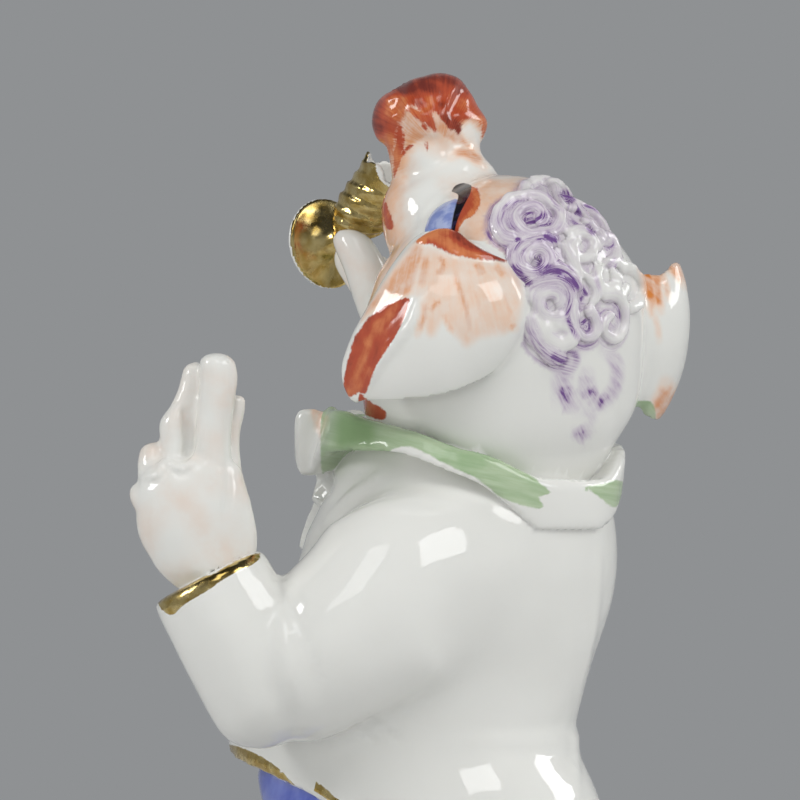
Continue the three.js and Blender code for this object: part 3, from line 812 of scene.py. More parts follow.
EAR_LEAF = seen((408, 299), (392, 304), (377, 313), (363, 328), (354, 344), (348, 360), (345, 376), (344, 391),
                (351, 397), (360, 392), (366, 394), (372, 380), (378, 366), (387, 351), (395, 339), (402, 325),
                (407, 311))
EAR_FOLD = seen((416, 245), (424, 237), (436, 231), (449, 230), (459, 235), (468, 243), (480, 251), (492, 257),
                (507, 264), (494, 263), (480, 262), (466, 260), (454, 258), (444, 253), (432, 247))
EYELID = seen((469, 187), (476, 188), (480, 199), (478, 209), (472, 217), (465, 221), (460, 228), (455, 236),
              (450, 237), (453, 225), (458, 214), (463, 204), (466, 194))
LASHES = seen((452, 192), (455, 186), (463, 183), (471, 186), (470, 194), (465, 204), (460, 214), (456, 225),
              (453, 238), (450, 238), (453, 217), (457, 201), (458, 196), (456, 194))
IRIS = seen((457, 200), (448, 201), (436, 208), (428, 217), (425, 227), (426, 238), (439, 239), (450, 236),
            (453, 217))
MUZZLE_SPOT = seen((384, 201), (388, 206), (390, 214), (394, 224), (391, 230), (385, 226), (382, 215))
NECK_SPOT = seen((360, 392), (370, 402), (382, 408), (387, 415), (382, 420), (370, 417), (360, 410))
DISC_RED = seen((360, 60), (500, 55), (500, 130), (487, 142), (483, 132), (479, 120), (470, 122), (464, 126),
                (459, 133), (451, 127), (444, 118), (437, 112), (429, 116), (420, 109), (411, 106), (404, 110),
                (400, 122), (396, 136), (392, 152), (389, 166), (380, 150), (364, 130))
DISC_WASH = seen((394, 98), (440, 96), (480, 104), (488, 122), (484, 134), (470, 122), (462, 130), (470, 142),
                 (480, 156), (464, 146), (446, 136), (432, 134), (420, 142), (405, 150), (396, 168), (386, 150))
CHEEK_WHITE = seen((462, 124), (471, 117), (479, 119), (482, 131), (477, 142), (468, 136))
EAR_FRONT = seen((414, 246), (425, 250), (421, 268), (416, 286), (408, 297), (391, 302), (376, 311), (364, 322),
                 (368, 309), (380, 293), (397, 270))
EAR_INNER = seen((424, 250), (458, 259), (489, 264), (510, 268), (519, 280), (521, 300), (517, 322), (504, 333),
                 (478, 338), (466, 346), (452, 331), (441, 322), (432, 336), (424, 330), (422, 300))
FAR_EAR_ROOT = seen((640, 264), (666, 270), (664, 286), (658, 304), (652, 316), (646, 300), (641, 284))
FAR_EAR_HORN = seen((667, 266), (680, 254), (691, 266), (693, 288), (685, 283), (677, 277))
FAR_EAR_TIP = seen((654, 398), (672, 384), (682, 396), (674, 414), (662, 424), (652, 414))
# Painted shade and painted reflection: the underside of the far ear's tip is laid with the collar's green
FAR_EAR_PAINTED_SHADE = seen((636, 402), (652, 402), (657, 412), (655, 426), (640, 426))
BROW_WASH = seen((478, 186), (500, 181), (520, 186), (510, 205), (492, 208), (481, 240), (463, 238), (472, 220))
MUZZLE_EDGE = seen((372, 158), (396, 152), (403, 160), (400, 175), (398, 200), (400, 225), (404, 245), (392, 275),
                   (374, 310), (356, 330), (356, 300), (366, 260), (366, 200))
MUZZLE_FLESH = seen((380, 150), (404, 152), (412, 165), (408, 185), (404, 210), (406, 240), (396, 268), (376, 300),
                    (360, 330), (356, 300), (366, 240), (370, 190))
BROW_FLESH = seen((440, 180), (500, 174), (530, 182), (512, 240), (520, 272), (500, 260), (470, 250), (455, 236),
                  (466, 212), (452, 196))
COLLAR_GREEN = seen((322, 404), (340, 402), (354, 409), (380, 416), (404, 422), (432, 430), (470, 445), (492, 455),
                    (516, 467), (533, 477), (545, 487), (549, 493), (536, 497), (543, 504), (536, 508), (500, 497),
                    (489, 488), (474, 476), (455, 468), (430, 455), (411, 446), (395, 448), (375, 460), (350, 463),
                    (336, 469), (322, 474))
COLLAR_BACK_GREEN = seen((578, 488), (597, 484), (624, 480), (624, 505), (611, 506), (600, 498), (590, 491))
COLLAR_RISE_GREEN = seen((612, 440), (620, 440), (626, 462), (616, 464))
COLLAR_DARK = seen((337, 414), (356, 415), (374, 424), (373, 443), (352, 446), (336, 444))
CUFF_GOLD = seen((151, 594), (157, 585), (175, 578), (200, 575), (213, 573), (226, 566), (240, 558), (252, 553),
                 (261, 551), (262, 556), (253, 563), (240, 569), (226, 577), (211, 587), (196, 596), (185, 603),
                 (176, 612), (166, 608), (161, 601), (157, 607))
GOBLET_WHITE = seen((376, 144), (404, 144), (404, 184), (392, 186), (382, 180), (376, 168))
CHEST_HOLLOW = seen((262, 500), (300, 470), (326, 472), (336, 500), (322, 540), (300, 580), (262, 604))
# Painted shadow: a brown-peach wash on the top of the bow, where it lies in shade
BOW_PAINTED_SHADOW = seen((310, 400), (324, 404), (324, 440), (318, 434), (312, 418))
HEM_GOLD = seen((222, 747), (238, 746), (257, 753), (277, 764), (298, 785), (280, 778), (262, 772), (244, 767),
                (226, 760))

# Brush strokes: the layer, the line, its half width in millimetres and its strength
FACE_STROKES = [
    ("rust", seen((406, 107), (418, 114), (428, 120), (437, 131)), 0.6, 1),
    ("rust", seen((424, 110), (432, 120), (434, 132)), 0.4, 1),
    ("rust", seen((440, 112), (450, 122), (462, 130)), 0.7, 1),
    ("rust", seen((416, 117), (424, 126), (430, 133)), 0.3, 1),
    ("rust", seen((397, 124), (399, 138), (396, 152), (394, 164)), 0.45, 1),
    ("rust", seen((404, 133), (401, 148), (396, 162), (392, 176)), 0.35, 1),
    ("rust", seen((426, 140), (427, 150)), 0.3, 1),
    ("rust", seen((416, 143), (406, 149), (399, 159), (395, 170)), 0.3, 1),
    ("rust", seen((391, 160), (387, 178), (383, 198), (381, 222), (384, 244), (378, 262)), 0.3, 1),
    ("peach", seen((408, 118), (420, 130), (440, 134), (460, 140)), 2.6, 0.7),
    ("peach", seen((440, 130), (454, 137), (462, 141)), 0.8, 1.1),
    ("peach", seen((452, 153), (464, 151), (475, 157), (485, 166)), 0.9, 1.1),
    ("peach", seen((462, 142), (472, 150), (480, 157)), 1.4, 0.6),
    ("peach", seen((418, 142), (405, 150), (398, 164), (394, 182)), 1.1, 0.9),
    ("peach", seen((386, 166), (384, 196), (384, 230), (388, 258)), 1.3, 0.9),
    ("peach", seen((481, 122), (485, 132), (481, 142)), 0.5, 1.2),
    ("peach", seen((455, 226), (452, 234), (462, 228)), 0.7, 1.0),
]
EAR_STROKES = [
    ("peach", seen((427, 252), (424, 272), (419, 294)), 0.9, 1.0),
    ("peach", seen((434, 256), (442, 262), (440, 274), (432, 268)), 0.6, 1.1),
    ("peach", seen((426, 300), (424, 318), (417, 336)), 0.6, 1.0),
    ("peach", seen((452, 262), (456, 282), (464, 304), (468, 330), (464, 346)), 0.6, 1.0),
    ("peach", seen((443, 300), (435, 306), (428, 316)), 0.6, 1.0),
    ("peach", seen((440, 310), (448, 326), (456, 336)), 0.5, 0.8),
    ("peach", seen((474, 262), (480, 272), (484, 280)), 0.9, 1.0),
    ("peach", seen((492, 265), (500, 274), (506, 281)), 0.8, 0.9),
    ("peach", seen((472, 286), (478, 306), (480, 326)), 0.5, 0.8),
    ("peach", seen((484, 285), (492, 305), (496, 325)), 0.5, 0.7),
    ("peach", seen((500, 288), (507, 305), (510, 324)), 0.6, 0.8),
    ("peach", seen((508, 325), (516, 330)), 0.7, 0.9),
]
FAR_EAR_STROKES = [
    ("peach", seen((646, 266), (650, 284), (652, 306)), 0.8, 1.25),
    ("peach", seen((656, 270), (659, 290), (661, 312)), 0.7, 1.15),
    ("peach", seen((664, 272), (668, 288), (669, 300)), 0.5, 0.9),
    ("peach", seen((655, 312), (658, 326), (660, 342)), 0.5, 0.5),
    ("peach", seen((672, 263), (681, 257), (689, 268), (690, 282)), 0.5, 1.2),
    ("peach", seen((672, 268), (680, 276), (684, 285)), 0.6, 1.0),
    ("peach", seen((668, 384), (664, 398), (658, 414)), 1.2, 1.1),
    ("peach", seen((676, 392), (670, 408), (662, 420)), 1.0, 1.2),
]
# Lighter and darker tones of the rust: a line, its half width and the change of tone
RUST_TONES = [
    (seen((400, 80), (430, 74), (462, 80), (480, 104)), 1.6, 0.35),
    (seen((404, 84), (412, 92), (418, 102)), 1.0, 0.55),
    (seen((424, 84), (436, 92), (444, 104)), 0.8, 0.35),
    (seen((376, 104), (372, 118), (378, 128)), 1.2, 0.4),
    (seen((440, 108), (452, 122), (462, 130)), 1.0, 0.4),
    (seen((394, 108), (410, 102), (428, 106), (440, 104)), 1.6, -0.3),
    (seen((386, 140), (391, 150), (394, 164)), 1.2, -0.35),
    (seen((470, 98), (482, 114), (486, 136)), 1.4, -0.35),
    (seen((396, 306), (378, 326), (364, 350), (354, 384)), 0.6, -0.22),
    (seen((404, 302), (396, 322), (384, 342), (370, 364)), 0.5, 0.12),
    (seen((388, 306), (366, 324), (352, 348), (346, 376)), 0.7, 0.1),
    (seen((350, 392), (360, 386), (370, 370)), 0.6, -0.2),
    (seen((420, 243), (432, 234), (448, 233)), 0.8, -0.4),
    (seen((474, 191), (478, 203), (471, 215), (460, 228)), 0.5, -0.3),
    (seen((432, 240), (446, 247), (458, 256), (480, 261)), 0.6, -0.35),
    (seen((452, 236), (466, 246), (484, 256), (500, 263)), 0.8, 0.3),
]
# Violet of the hair, laid over the locks: soft washes, then brush strokes
VIOLET_WASHES = [
    (seen((522, 204), (524, 190), (545, 180), (566, 188), (582, 203), (602, 214), (618, 238), (603, 246), (588, 234),
          (566, 224), (556, 206), (540, 198)), 0.5, 1.0),
    (seen((495, 218), (504, 203), (530, 197), (553, 206), (563, 226), (558, 243), (564, 270), (580, 285), (572, 302),
          (548, 292), (526, 292), (511, 270), (508, 250), (496, 238)), 0.62, 0.9),
    (seen((528, 302), (548, 294), (566, 297), (570, 328), (556, 322), (536, 318)), 0.35, 1.0),
    (seen((573, 292), (588, 300), (596, 320), (590, 344), (578, 346), (570, 322)), 0.4, 1.0),
    (seen((524, 318), (534, 318), (543, 340), (560, 350), (574, 350), (570, 364), (550, 361), (533, 346)), 0.5, 0.7),
]
VIOLET_STROKES = [
    (seen((559, 190), (567, 198), (575, 206)), 0.9, 1.3), (seen((574, 206), (590, 208), (603, 215), (615, 230)), 0.5, 1.0),
    (seen((519, 216), (526, 222), (535, 222), (543, 216), (541, 208)), 0.55, 1.3),
    (seen((542, 232), (551, 240), (561, 238)), 0.8, 1.25), (seen((513, 243), (520, 240)), 0.35, 1.7),
    (seen((585, 222), (590, 232), (599, 236)), 0.55, 1.05), (seen((510, 262), (517, 274), (527, 283), (537, 283)), 0.8, 1.3),
    (seen((525, 274), (540, 271), (556, 272), (570, 283), (579, 298)), 1.0, 1.4),
    (seen((560, 283), (568, 300), (566, 316), (571, 330), (581, 345)), 0.45, 1.15),
    (seen((579, 316), (584, 328), (593, 337)), 0.9, 0.95),
    (seen((526, 318), (531, 338), (544, 354), (560, 361), (571, 360)), 0.8, 0.8),
    (seen((547, 354), (558, 360), (570, 361)), 0.8, 1.35), (seen((600, 304), (611, 303), (618, 314), (619, 328)), 0.35, 0.95),
    (seen((604, 268), (612, 262), (614, 253)), 0.3, 0.85), (seen((590, 262), (595, 280), (600, 297)), 0.35, 0.7),
    (seen((499, 240), (498, 224), (505, 209), (521, 201), (541, 203)), 0.6, 0.85),
    (seen((511, 268), (510, 255), (518, 246), (531, 242), (545, 243), (554, 253)), 0.5, 0.95),
    (seen((545, 184), (549, 196), (556, 206), (566, 218)), 0.4, 0.8),
    (seen((575, 350), (566, 362), (561, 380), (563, 395), (572, 404)), 1.4, 0.55),
    (seen((563, 384), (566, 398), (575, 404)), 1.1, 1.35), (seen((585, 374), (585, 388), (590, 399)), 1.1, 0.7),
    (seen((586, 387), (592, 398)), 1.0, 1.35), (seen((604, 350), (614, 362), (616, 380), (609, 396), (599, 404)), 1.0, 0.6),
    (seen((606, 398), (597, 406)), 0.9, 1.35), (seen((577, 413), (590, 412), (588, 424), (580, 431)), 0.8, 0.3),
    (seen((576, 434), (587, 433)), 0.9, 1.35), (seen((580, 439), (583, 444)), 0.4, 0.8),
]
# Raised and sunk lines of the modelling: the zone, the line, the half width and the height in millimetres
MODELLING = [
    ("head", seen((396, 181), (416, 171), (438, 159), (458, 146)), 1.7, -1.0),
    ("head", seen((414, 247), (386, 287), (366, 320), (352, 346)), 0.8, 0.35),
    ("head", seen((428, 292), (419, 304), (412, 322), (398, 342), (382, 360), (372, 378), (366, 392)), 0.8, 0.6),
    ("head", seen((466, 84), (458, 100), (454, 114), (462, 126)), 1.0, -0.55),
    ("head", seen((402, 84), (396, 104), (402, 122), (396, 136)), 1.1, -0.5),
    ("head", seen((424, 76), (422, 96), (430, 112)), 1.3, -0.45),
    ("head", seen((457, 84), (449, 96), (444, 112)), 0.6, 0.4),
    ("head", seen((398, 92), (391, 97), (384, 104)), 0.6, 0.35),
    ("head", seen((405, 108), (395, 114), (388, 121)), 0.5, 0.35),
    ("head", seen((458, 200), (447, 199), (435, 206), (427, 216), (423, 229)), 0.5, -0.3),
    ("head", seen((458, 197), (445, 195), (431, 203), (423, 214), (419, 228)), 0.7, 0.22),
    ("body", seen((598, 536), (594, 620), (582, 690), (577, 740), (575, 800)), 0.8, 0.4),
    ("body", seen((388, 470), (360, 488), (337, 512), (322, 536)), 1.2, 0.55),
    ("body", seen((372, 471), (350, 484), (328, 505)), 1.1, -0.5),
    ("body", seen((263, 566), (281, 612), (291, 660), (294, 690)), 1.6, 0.5),
    ("body", seen((281, 578), (300, 622), (313, 664), (318, 690)), 1.5, -0.5),
    ("body", seen((368, 714), (384, 727), (400, 738)), 0.6, -0.3),
    ("body", seen((352, 720), (366, 731), (380, 739)), 0.6, -0.2),
    ("left_hand", seen((144, 476), (160, 474), (168, 460), (183, 468), (196, 459), (203, 444), (206, 419)), 0.5,
     0.4),
    ("left_hand", seen((140, 482), (160, 480), (172, 468), (184, 474), (200, 466)), 0.6, -0.25),
    ("left_hand", seen((186, 404), (189, 428), (190, 448), (184, 458)), 0.9, -0.8),
    ("left_hand", seen((226, 520), (231, 480), (229, 440), (231, 400)), 0.7, -0.35),
]

# ---------------------------------------------------------------- modelling on the skin

skin = Skin(pig.data)
on_near = skin.facing > -0.15
head = skin.of("head", "hair")
ear_reach = reach_of(TREES["left_ear"], skin, head)
on_ear = (ear_reach < 0.55) & skin.of("head")
lift = np.zeros(len(skin.place))
for zone_name, line, width, height in MODELLING:
    chosen = np.flatnonzero(skin.of(zone_name) & on_near)
    distance, share = beside(skin.across[chosen], skin.up[chosen], line)
    ends = smoothstep(0, 0.15, share) * smoothstep(0, 0.15, 1 - share)
    lift[chosen] += height * np.exp(-(distance / width) ** 2) * (0.35 + 0.65 * ends)
for outline, height, slope in ((EAR_LEAF, -0.5, 3.0), (EAR_FOLD, 0.7, 0.7)):
    chosen = np.flatnonzero(on_ear & on_near)
    lift[chosen] += height * smoothstep(-0.4, slope, within(skin.across[chosen], skin.up[chosen], outline))
chosen = np.flatnonzero(head & on_near & ~on_ear)
lift[chosen] += 0.45 * smoothstep(-0.2, 1.2, within(skin.across[chosen], skin.up[chosen], IRIS))
# The chest draws in below the bow
chest = np.flatnonzero(skin.of("body"))
drawn_in = smoothstep(-2, 2.5, within(skin.across[chest], skin.up[chest], CHEST_HOLLOW))
lift[chest] -= 2.3 * drawn_in * np.exp(-((skin.place[chest] @ np.array(NEAR) - 2) / 9) ** 2)
made_by_hand = np.flatnonzero(~skin.of("base", "goblet"))
for index in made_by_hand:
    spot = Vector(skin.place[index])
    lift[index] += 0.13 * noise.noise(spot / 9) + 0.05 * noise.noise(spot / 4)
moved = skin.place + skin.normal * lift[:, None]
pig.data.vertices.foreach_set("co", moved.ravel())
pig.data.update()

# ---------------------------------------------------------------- painting on the skin

across, up = skin.across, skin.up
count = len(across)
mid = (skin.place - np.array(HEAD_CENTRE)) @ np.array(HEAD_LEFT)
turned_over = skin.place - np.outer(2 * mid, np.array(HEAD_LEFT))
far_half = head & (mid < 0) & (skin.facing < 0.12)
head_across = np.where(far_half, turned_over @ np.array(ACROSS), across)
head_up = np.where(far_half, turned_over[:, 2], up)
mirror_normal = skin.normal - np.outer(2 * (skin.normal @ np.array(HEAD_LEFT)), np.array(HEAD_LEFT))
head_facing = np.where(far_half, mirror_normal @ np.array(NEAR), skin.facing)
LAYERS = {name: np.full(count, -9.0) for name in ("rust", "ink", "iris", "green", "gilt", "blue")}
LAYERS.update({name: np.zeros(count) for name in ("peach", "violet", "flesh", "dark")})
LAYERS["tone"] = np.full(count, 0.45)
LAYERS["fray"] = np.ones(count)
brush = np.zeros((count, 3))


def paint(layer, chosen, outline, a=across, b=up):
    """Lays a layer's outline on the chosen places, as millimetres inside it."""
    chosen = np.flatnonzero(chosen)
    LAYERS[layer][chosen] = np.maximum(LAYERS[layer][chosen], within(a[chosen], b[chosen], outline))


def wash(layer, chosen, outline, strength, soft, a=across, b=up):
    """Lays a soft wash inside an outline, as a share of full colour."""
    chosen = np.flatnonzero(chosen)
    amount = strength * smoothstep(-soft, soft, within(a[chosen], b[chosen], outline))
    LAYERS[layer][chosen] = np.maximum(LAYERS[layer][chosen], amount)


def ray_field(a, b, centre_a, centre_b):
    """Brush strokes that spread from a centre: across the stroke and along it, in millimetres."""
    reach = np.hypot(a - centre_a, b - centre_b)
    return np.stack([np.arctan2(a - centre_a, centre_b - b) * 30, reach, np.zeros(len(a))], axis=1)


face = head & ~on_ear & (head_facing > -0.3)
disc_reach = reach_of(TREES["disc"], skin, head)
far_reach = reach_of(TREES["right_ear"], skin, head)
on_far_ear = far_reach < 0.6
brush[:] = ray_field(across, up, *seen((440, 150))[0])
brush[far_half] = ray_field(head_across, head_up, *seen((440, 150))[0])[far_half]

near_ear = on_ear & (skin.facing > -0.4)
bare_face = face & skin.of("head")
SIGNED = ("rust", "ink", "iris", "green", "gilt", "blue")


def stroke(layer, chosen, line, wide, strength, a=across, b=up):
    """Lays one brush stroke that thins towards its two ends."""
    chosen = np.flatnonzero(chosen)
    distance, share = beside(a[chosen], b[chosen], line)
    taper = 0.35 + 0.65 * smoothstep(0, 0.25, share) * smoothstep(0, 0.25, 1 - share)
    if layer in SIGNED:
        amount = wide * taper - distance
    else:
        amount = strength * taper * (1 - smoothstep(0.3 * wide, 1.8 * wide, distance))
    LAYERS[layer][chosen] = np.maximum(LAYERS[layer][chosen], amount)


paint("rust", near_ear, EAR_LEAF)
paint("rust", near_ear, EAR_FOLD)
paint("rust", face, EYELID, head_across, head_up)
paint("rust", face, MUZZLE_SPOT, head_across, head_up)
paint("rust", head & (skin.facing > 0), NECK_SPOT)
snout = head & (up > 186)
paint("rust", snout, DISC_RED, head_across, head_up)
bare = np.flatnonzero(snout & (skin.facing > 0))
LAYERS["rust"][bare] = np.minimum(LAYERS["rust"][bare], -within(across[bare], up[bare], CHEEK_WHITE))
# painted shadow on the top of the bow, laid as a peach wash
wash("peach", skin.of("collar") & (skin.facing > -0.2), BOW_PAINTED_SHADOW, 0.8, 0.5)
stroke("green", skin.of("body"), seen((318, 480), (309, 505), (305, 532)), 0.3, 1)
LAYERS["rust"][snout] *= 0.35  # a softer edge, where the brush was nearly dry
paint("ink", face, LASHES, head_across, head_up)
paint("iris", face, IRIS, head_across, head_up)
wash("peach", near_ear, EAR_FRONT, 1.0, 0.8)
wash("peach", near_ear, EAR_INNER, 0.56, 1.0)
wash("peach", bare_face, BROW_WASH, 0.6, 1.4, head_across, head_up)
wash("peach", face, MUZZLE_EDGE, 0.8, 1.6, head_across, head_up)
wash("peach", snout, DISC_WASH, 1.05, 0.6, head_across, head_up)
for outline in (FAR_EAR_ROOT, FAR_EAR_HORN, FAR_EAR_TIP):
    wash("peach", head & ~on_ear, outline, 0.95, 0.8)
# painted shade on the underside of the far ear's tip, in the collar's green as a painted reflection of it
paint("green", on_far_ear, FAR_EAR_PAINTED_SHADE)
for layer_name, line, wide, strength in FACE_STROKES:
    stroke(layer_name, face, line, wide, strength, head_across, head_up)
for layer_name, line, wide, strength in EAR_STROKES:
    stroke(layer_name, near_ear, line, wide, strength)
for layer_name, line, wide, strength in FAR_EAR_STROKES:
    stroke(layer_name, head & ~on_ear, line, wide, strength)
wash("flesh", face, MUZZLE_FLESH, 0.9, 2.4, head_across, head_up)
wash("flesh", bare_face, BROW_FLESH, 0.8, 1.6, head_across, head_up)
LAYERS["flesh"][near_ear] = np.maximum(LAYERS["flesh"][near_ear], 0.35 * smoothstep(-1, 1.5, within(
    across[near_ear], up[near_ear], EAR_INNER)))
hand = skin.of("left_hand", "right_hand")
LAYERS["flesh"][hand] = [0.14 + 0.36 * noise.noise(Vector(p) / 5 + Vector((3, 1, 4))) for p in skin.place[hand]]
for line, wide, change in RUST_TONES:
    chosen = np.flatnonzero(head)
    distance, share = beside(head_across[chosen], head_up[chosen], line)
    LAYERS["tone"][chosen] += change * (1 - smoothstep(0.4 * wide, 1.8 * wide, distance))
LAYERS["tone"][on_far_ear] -= 0.2

# Violet on the locks: strong in the furrows, thin on the crests, with the strokes along each lock
points = [(point, number, step) for number, (line, *_) in enumerate(LINES) for step, point in enumerate(line)]
finder = KDTree(len(points))
for index, (point, _, _) in enumerate(points):
    finder.insert(point, index)
finder.balance()
for index in np.flatnonzero(head & ~on_ear):
    spot = Vector(skin.place[index])
    point, nearest, distance = finder.find(spot)
    if distance > 2.6:
        continue
    _, number, step = points[nearest]
    line, start, end, strength = LINES[number]
    _, normal, _, _ = skull_ground.find_nearest(point)
    offset = spot - point
    flat = offset - normal * offset.dot(normal)
    radius = (start + (end - start) * step / len(line)) * LOCK_BREADTH
    furrow = float(smoothstep(0.35, 1.0, np.float64(flat.length / radius)))
    fade = float(1 - smoothstep(1.2, 2.0, np.float64(flat.length / radius)))
    tangent = (line[min(step + 1, len(line) - 1)] - line[max(step - 1, 0)]).normalized()
    side = tangent.cross(normal)
    patch = 1.0 + 0.9 * noise.noise(spot / 3.0 + Vector((7, 0, 2)))
    LAYERS["violet"][index] = max(0.0, 0.95 * strength * fade * patch * (0.4 + 0.8 * furrow))
    brush[index] = (flat.dot(side) * 1.6 + number * 7, step * 0.5, 0)
hairy = head & ~on_ear & ~on_far_ear & (head_facing > -0.4)
for outline, strength, soft in VIOLET_WASHES:
    wash("violet", hairy, outline, strength, soft, head_across, head_up)
for line, wide, strength in VIOLET_STROKES:
    stroke("violet", hairy, line, wide, strength, head_across, head_up)

# Green on the collar, the same on its other half
on_collar = skin.of("collar") & (reach_of(TREES["collar"], skin, skin.of("collar")) < 0.6)
flipped = skin.place * np.array([-1, 1, 1])
other_side = skin.place[:, 0] < 0
collar_across = np.where(other_side, flipped @ np.array(ACROSS), across)
for outline in (COLLAR_GREEN, COLLAR_BACK_GREEN, COLLAR_RISE_GREEN):
    paint("green", on_collar, outline, collar_across, up)
wash("dark", on_collar, COLLAR_DARK, 0.9, 1.4, collar_across, up)
brush[on_collar] = np.stack([up * 1.2 + across * 0.25, across, np.zeros(count)], axis=1)[on_collar]

# Gold bands of the cuffs, below the white rim of the opening
for rim, below, zone_reach in ((shown(-35.2, 32, 121.2), shown(-30.6, 32.4, 112), 13),
                               (shown(0, -27, 148), shown(1, -34, 134), 13)):
    axis = (rim - below).normalized()
    offset = skin.place - np.array(rim)
    depth = offset @ np.array(axis)
    radial = np.linalg.norm(offset - np.outer(depth, np.array(axis)), axis=1)
    chosen = skin.of("body") & (radial < zone_reach) & (depth > -8) & (depth < 3)
    leftness = np.clip((skin.across - rim.dot(ACROSS)) / -9, -1, 1)
    broad = 2.9 + 0.8 * leftness
    LAYERS["gilt"][chosen] = np.minimum(depth + broad, -depth - 0.5)[chosen]
    if rim.dot(NEAR) > 0:
        shown_cuff = np.flatnonzero(chosen & (skin.facing > 0))
        LAYERS["gilt"][shown_cuff] = within(across[shown_cuff], up[shown_cuff], CUFF_GOLD)
    brush[chosen] = np.stack([depth * 2, radial, np.zeros(count)], axis=1)[chosen]

# The goblet is gilt outside, with a white edge to its foot, and white within the bowl
cup = skin.of("goblet")
along_foot = (skin.place - np.array(GOBLET_FOOT)) @ np.array(FOOT_AXIS)
foot_reach = np.linalg.norm(skin.place - np.array(GOBLET_FOOT) - np.outer(along_foot, np.array(FOOT_AXIS)), axis=1)
along_bowl = (skin.place - np.array(BOWL_START)) @ np.array(BOWL_AXIS)
outwards = skin.place - np.array(BOWL_START) - np.outer(along_bowl, np.array(BOWL_AXIS))
outside = np.einsum("ij,ij->i", outwards, skin.normal) > -0.3 * np.linalg.norm(outwards, axis=1)
in_bowl = cup & (along_bowl > -0.5) & (np.linalg.norm(outwards, axis=1) < 9)
LAYERS["gilt"][cup] = 2.0
LAYERS["gilt"][in_bowl & ~outside] = -2.0
pale = np.flatnonzero(in_bowl & (skin.facing > -0.2))
LAYERS["gilt"][pale] = np.minimum(LAYERS["gilt"][pale], -within(across[pale], up[pale], GOBLET_WHITE))
edge_of_foot = cup & (along_foot < 0.35) & ~in_bowl
LAYERS["gilt"][edge_of_foot] = (7.3 - foot_reach)[edge_of_foot]

# The coat's gold line along the hem, the blue breeches, the shoes and the gold ring of the base
coat_tree = tree_of(coat_form)
low = skin.of("body") & (up < 100)
coat_reach = reach_of(coat_tree, skin, low)
hem_distance, _ = beside(skin.place[:, 1], up, HEM)
on_coat = low & (coat_reach < 0.6)
body_across = np.where(other_side, flipped @ np.array(ACROSS), across)
line_width = np.where(skin.place[:, 1] < -4, 1.6, 1.1)
for index in np.flatnonzero(on_coat):
    line_width[index] += 0.5 * noise.noise(Vector(skin.place[index]) / 7)
band = np.minimum(hem_distance - 1.0, line_width + 1.0 - hem_distance)
band[body_across < seen((312, 0))[0][0]] = -9
band = np.maximum(band, within(body_across, up, HEM_GOLD))
LAYERS["gilt"][on_coat] = band[on_coat]
blue_reach = np.minimum(reach_of(tree_of(belly), skin, low),
                        np.minimum(*(reach_of(tree_of(LEGS[s]["thigh"]), skin, low) for s in (1, -1))))
garter_reach = np.minimum(*(reach_of(tree_of(LEGS[s]["garter"]), skin, low) for s in (1, -1)))
calf_reach = np.minimum(*(reach_of(tree_of(LEGS[s]["calf"]), skin, low) for s in (1, -1)))
breeches = low & (np.minimum(blue_reach, garter_reach) < 1.2)
LAYERS["blue"][breeches] = (np.minimum(coat_reach, calf_reach) - np.minimum(blue_reach, garter_reach))[breeches]
LAYERS["gilt"][low] = np.maximum(LAYERS["gilt"], np.where(np.abs(up - 41.3) < 2.6, 1.1 - np.abs(up - 41.3) - 3 * np.maximum(
    garter_reach - 0.4, 0), -9))[low]
shoe_reach = np.minimum(*(reach_of(tree_of(LEGS[s]["shoe"]), skin, low) for s in (1, -1)))
shod = low & (shoe_reach < 1.2)
LAYERS["ink"][shod] = (calf_reach - shoe_reach)[shod]
ring = skin.of("base")
LAYERS["gilt"][ring] = (0.55 - np.abs(up - 5.6))[ring]
LAYERS["gilt"][ring & (np.hypot(skin.place[:, 0], skin.place[:, 1]) < 38)] = -9

for name, values in LAYERS.items():
    attribute = pig.data.attributes.new(name, "FLOAT", "POINT")
    attribute.data.foreach_set("value", np.clip(values, -3, 3))
attribute = pig.data.attributes.new("brush", "FLOAT_VECTOR", "POINT")
attribute.data.foreach_set("vector", brush.ravel())

# ---------------------------------------------------------------- material

def linear(colour):
    """An sRGB hex colour as linear red, green, blue and full alpha."""
    parts = [int(colour[i:i + 2], 16) / 255 for i in (0, 2, 4)]
    return (*(p / 12.92 if p <= 0.04045 else ((p + 0.055) / 1.055) ** 2.4 for p in parts), 1)


def add(tree, kind, settings=None, **links):
    """Adds a node, sets its values and links its inputs."""
    node = tree.nodes.new(kind)
    for key, value in (settings or {}).items():
        if isinstance(key, str) and hasattr(node, key):
            setattr(node, key, value)
        else:
            node.inputs[key].default_value = value
    for key, socket in links.items():
        name = int(key[1:]) if key[0] == "i" and key[1:].isdigit() else key.replace("_", " ")
        tree.links.new(socket, node.inputs[name])
    return node


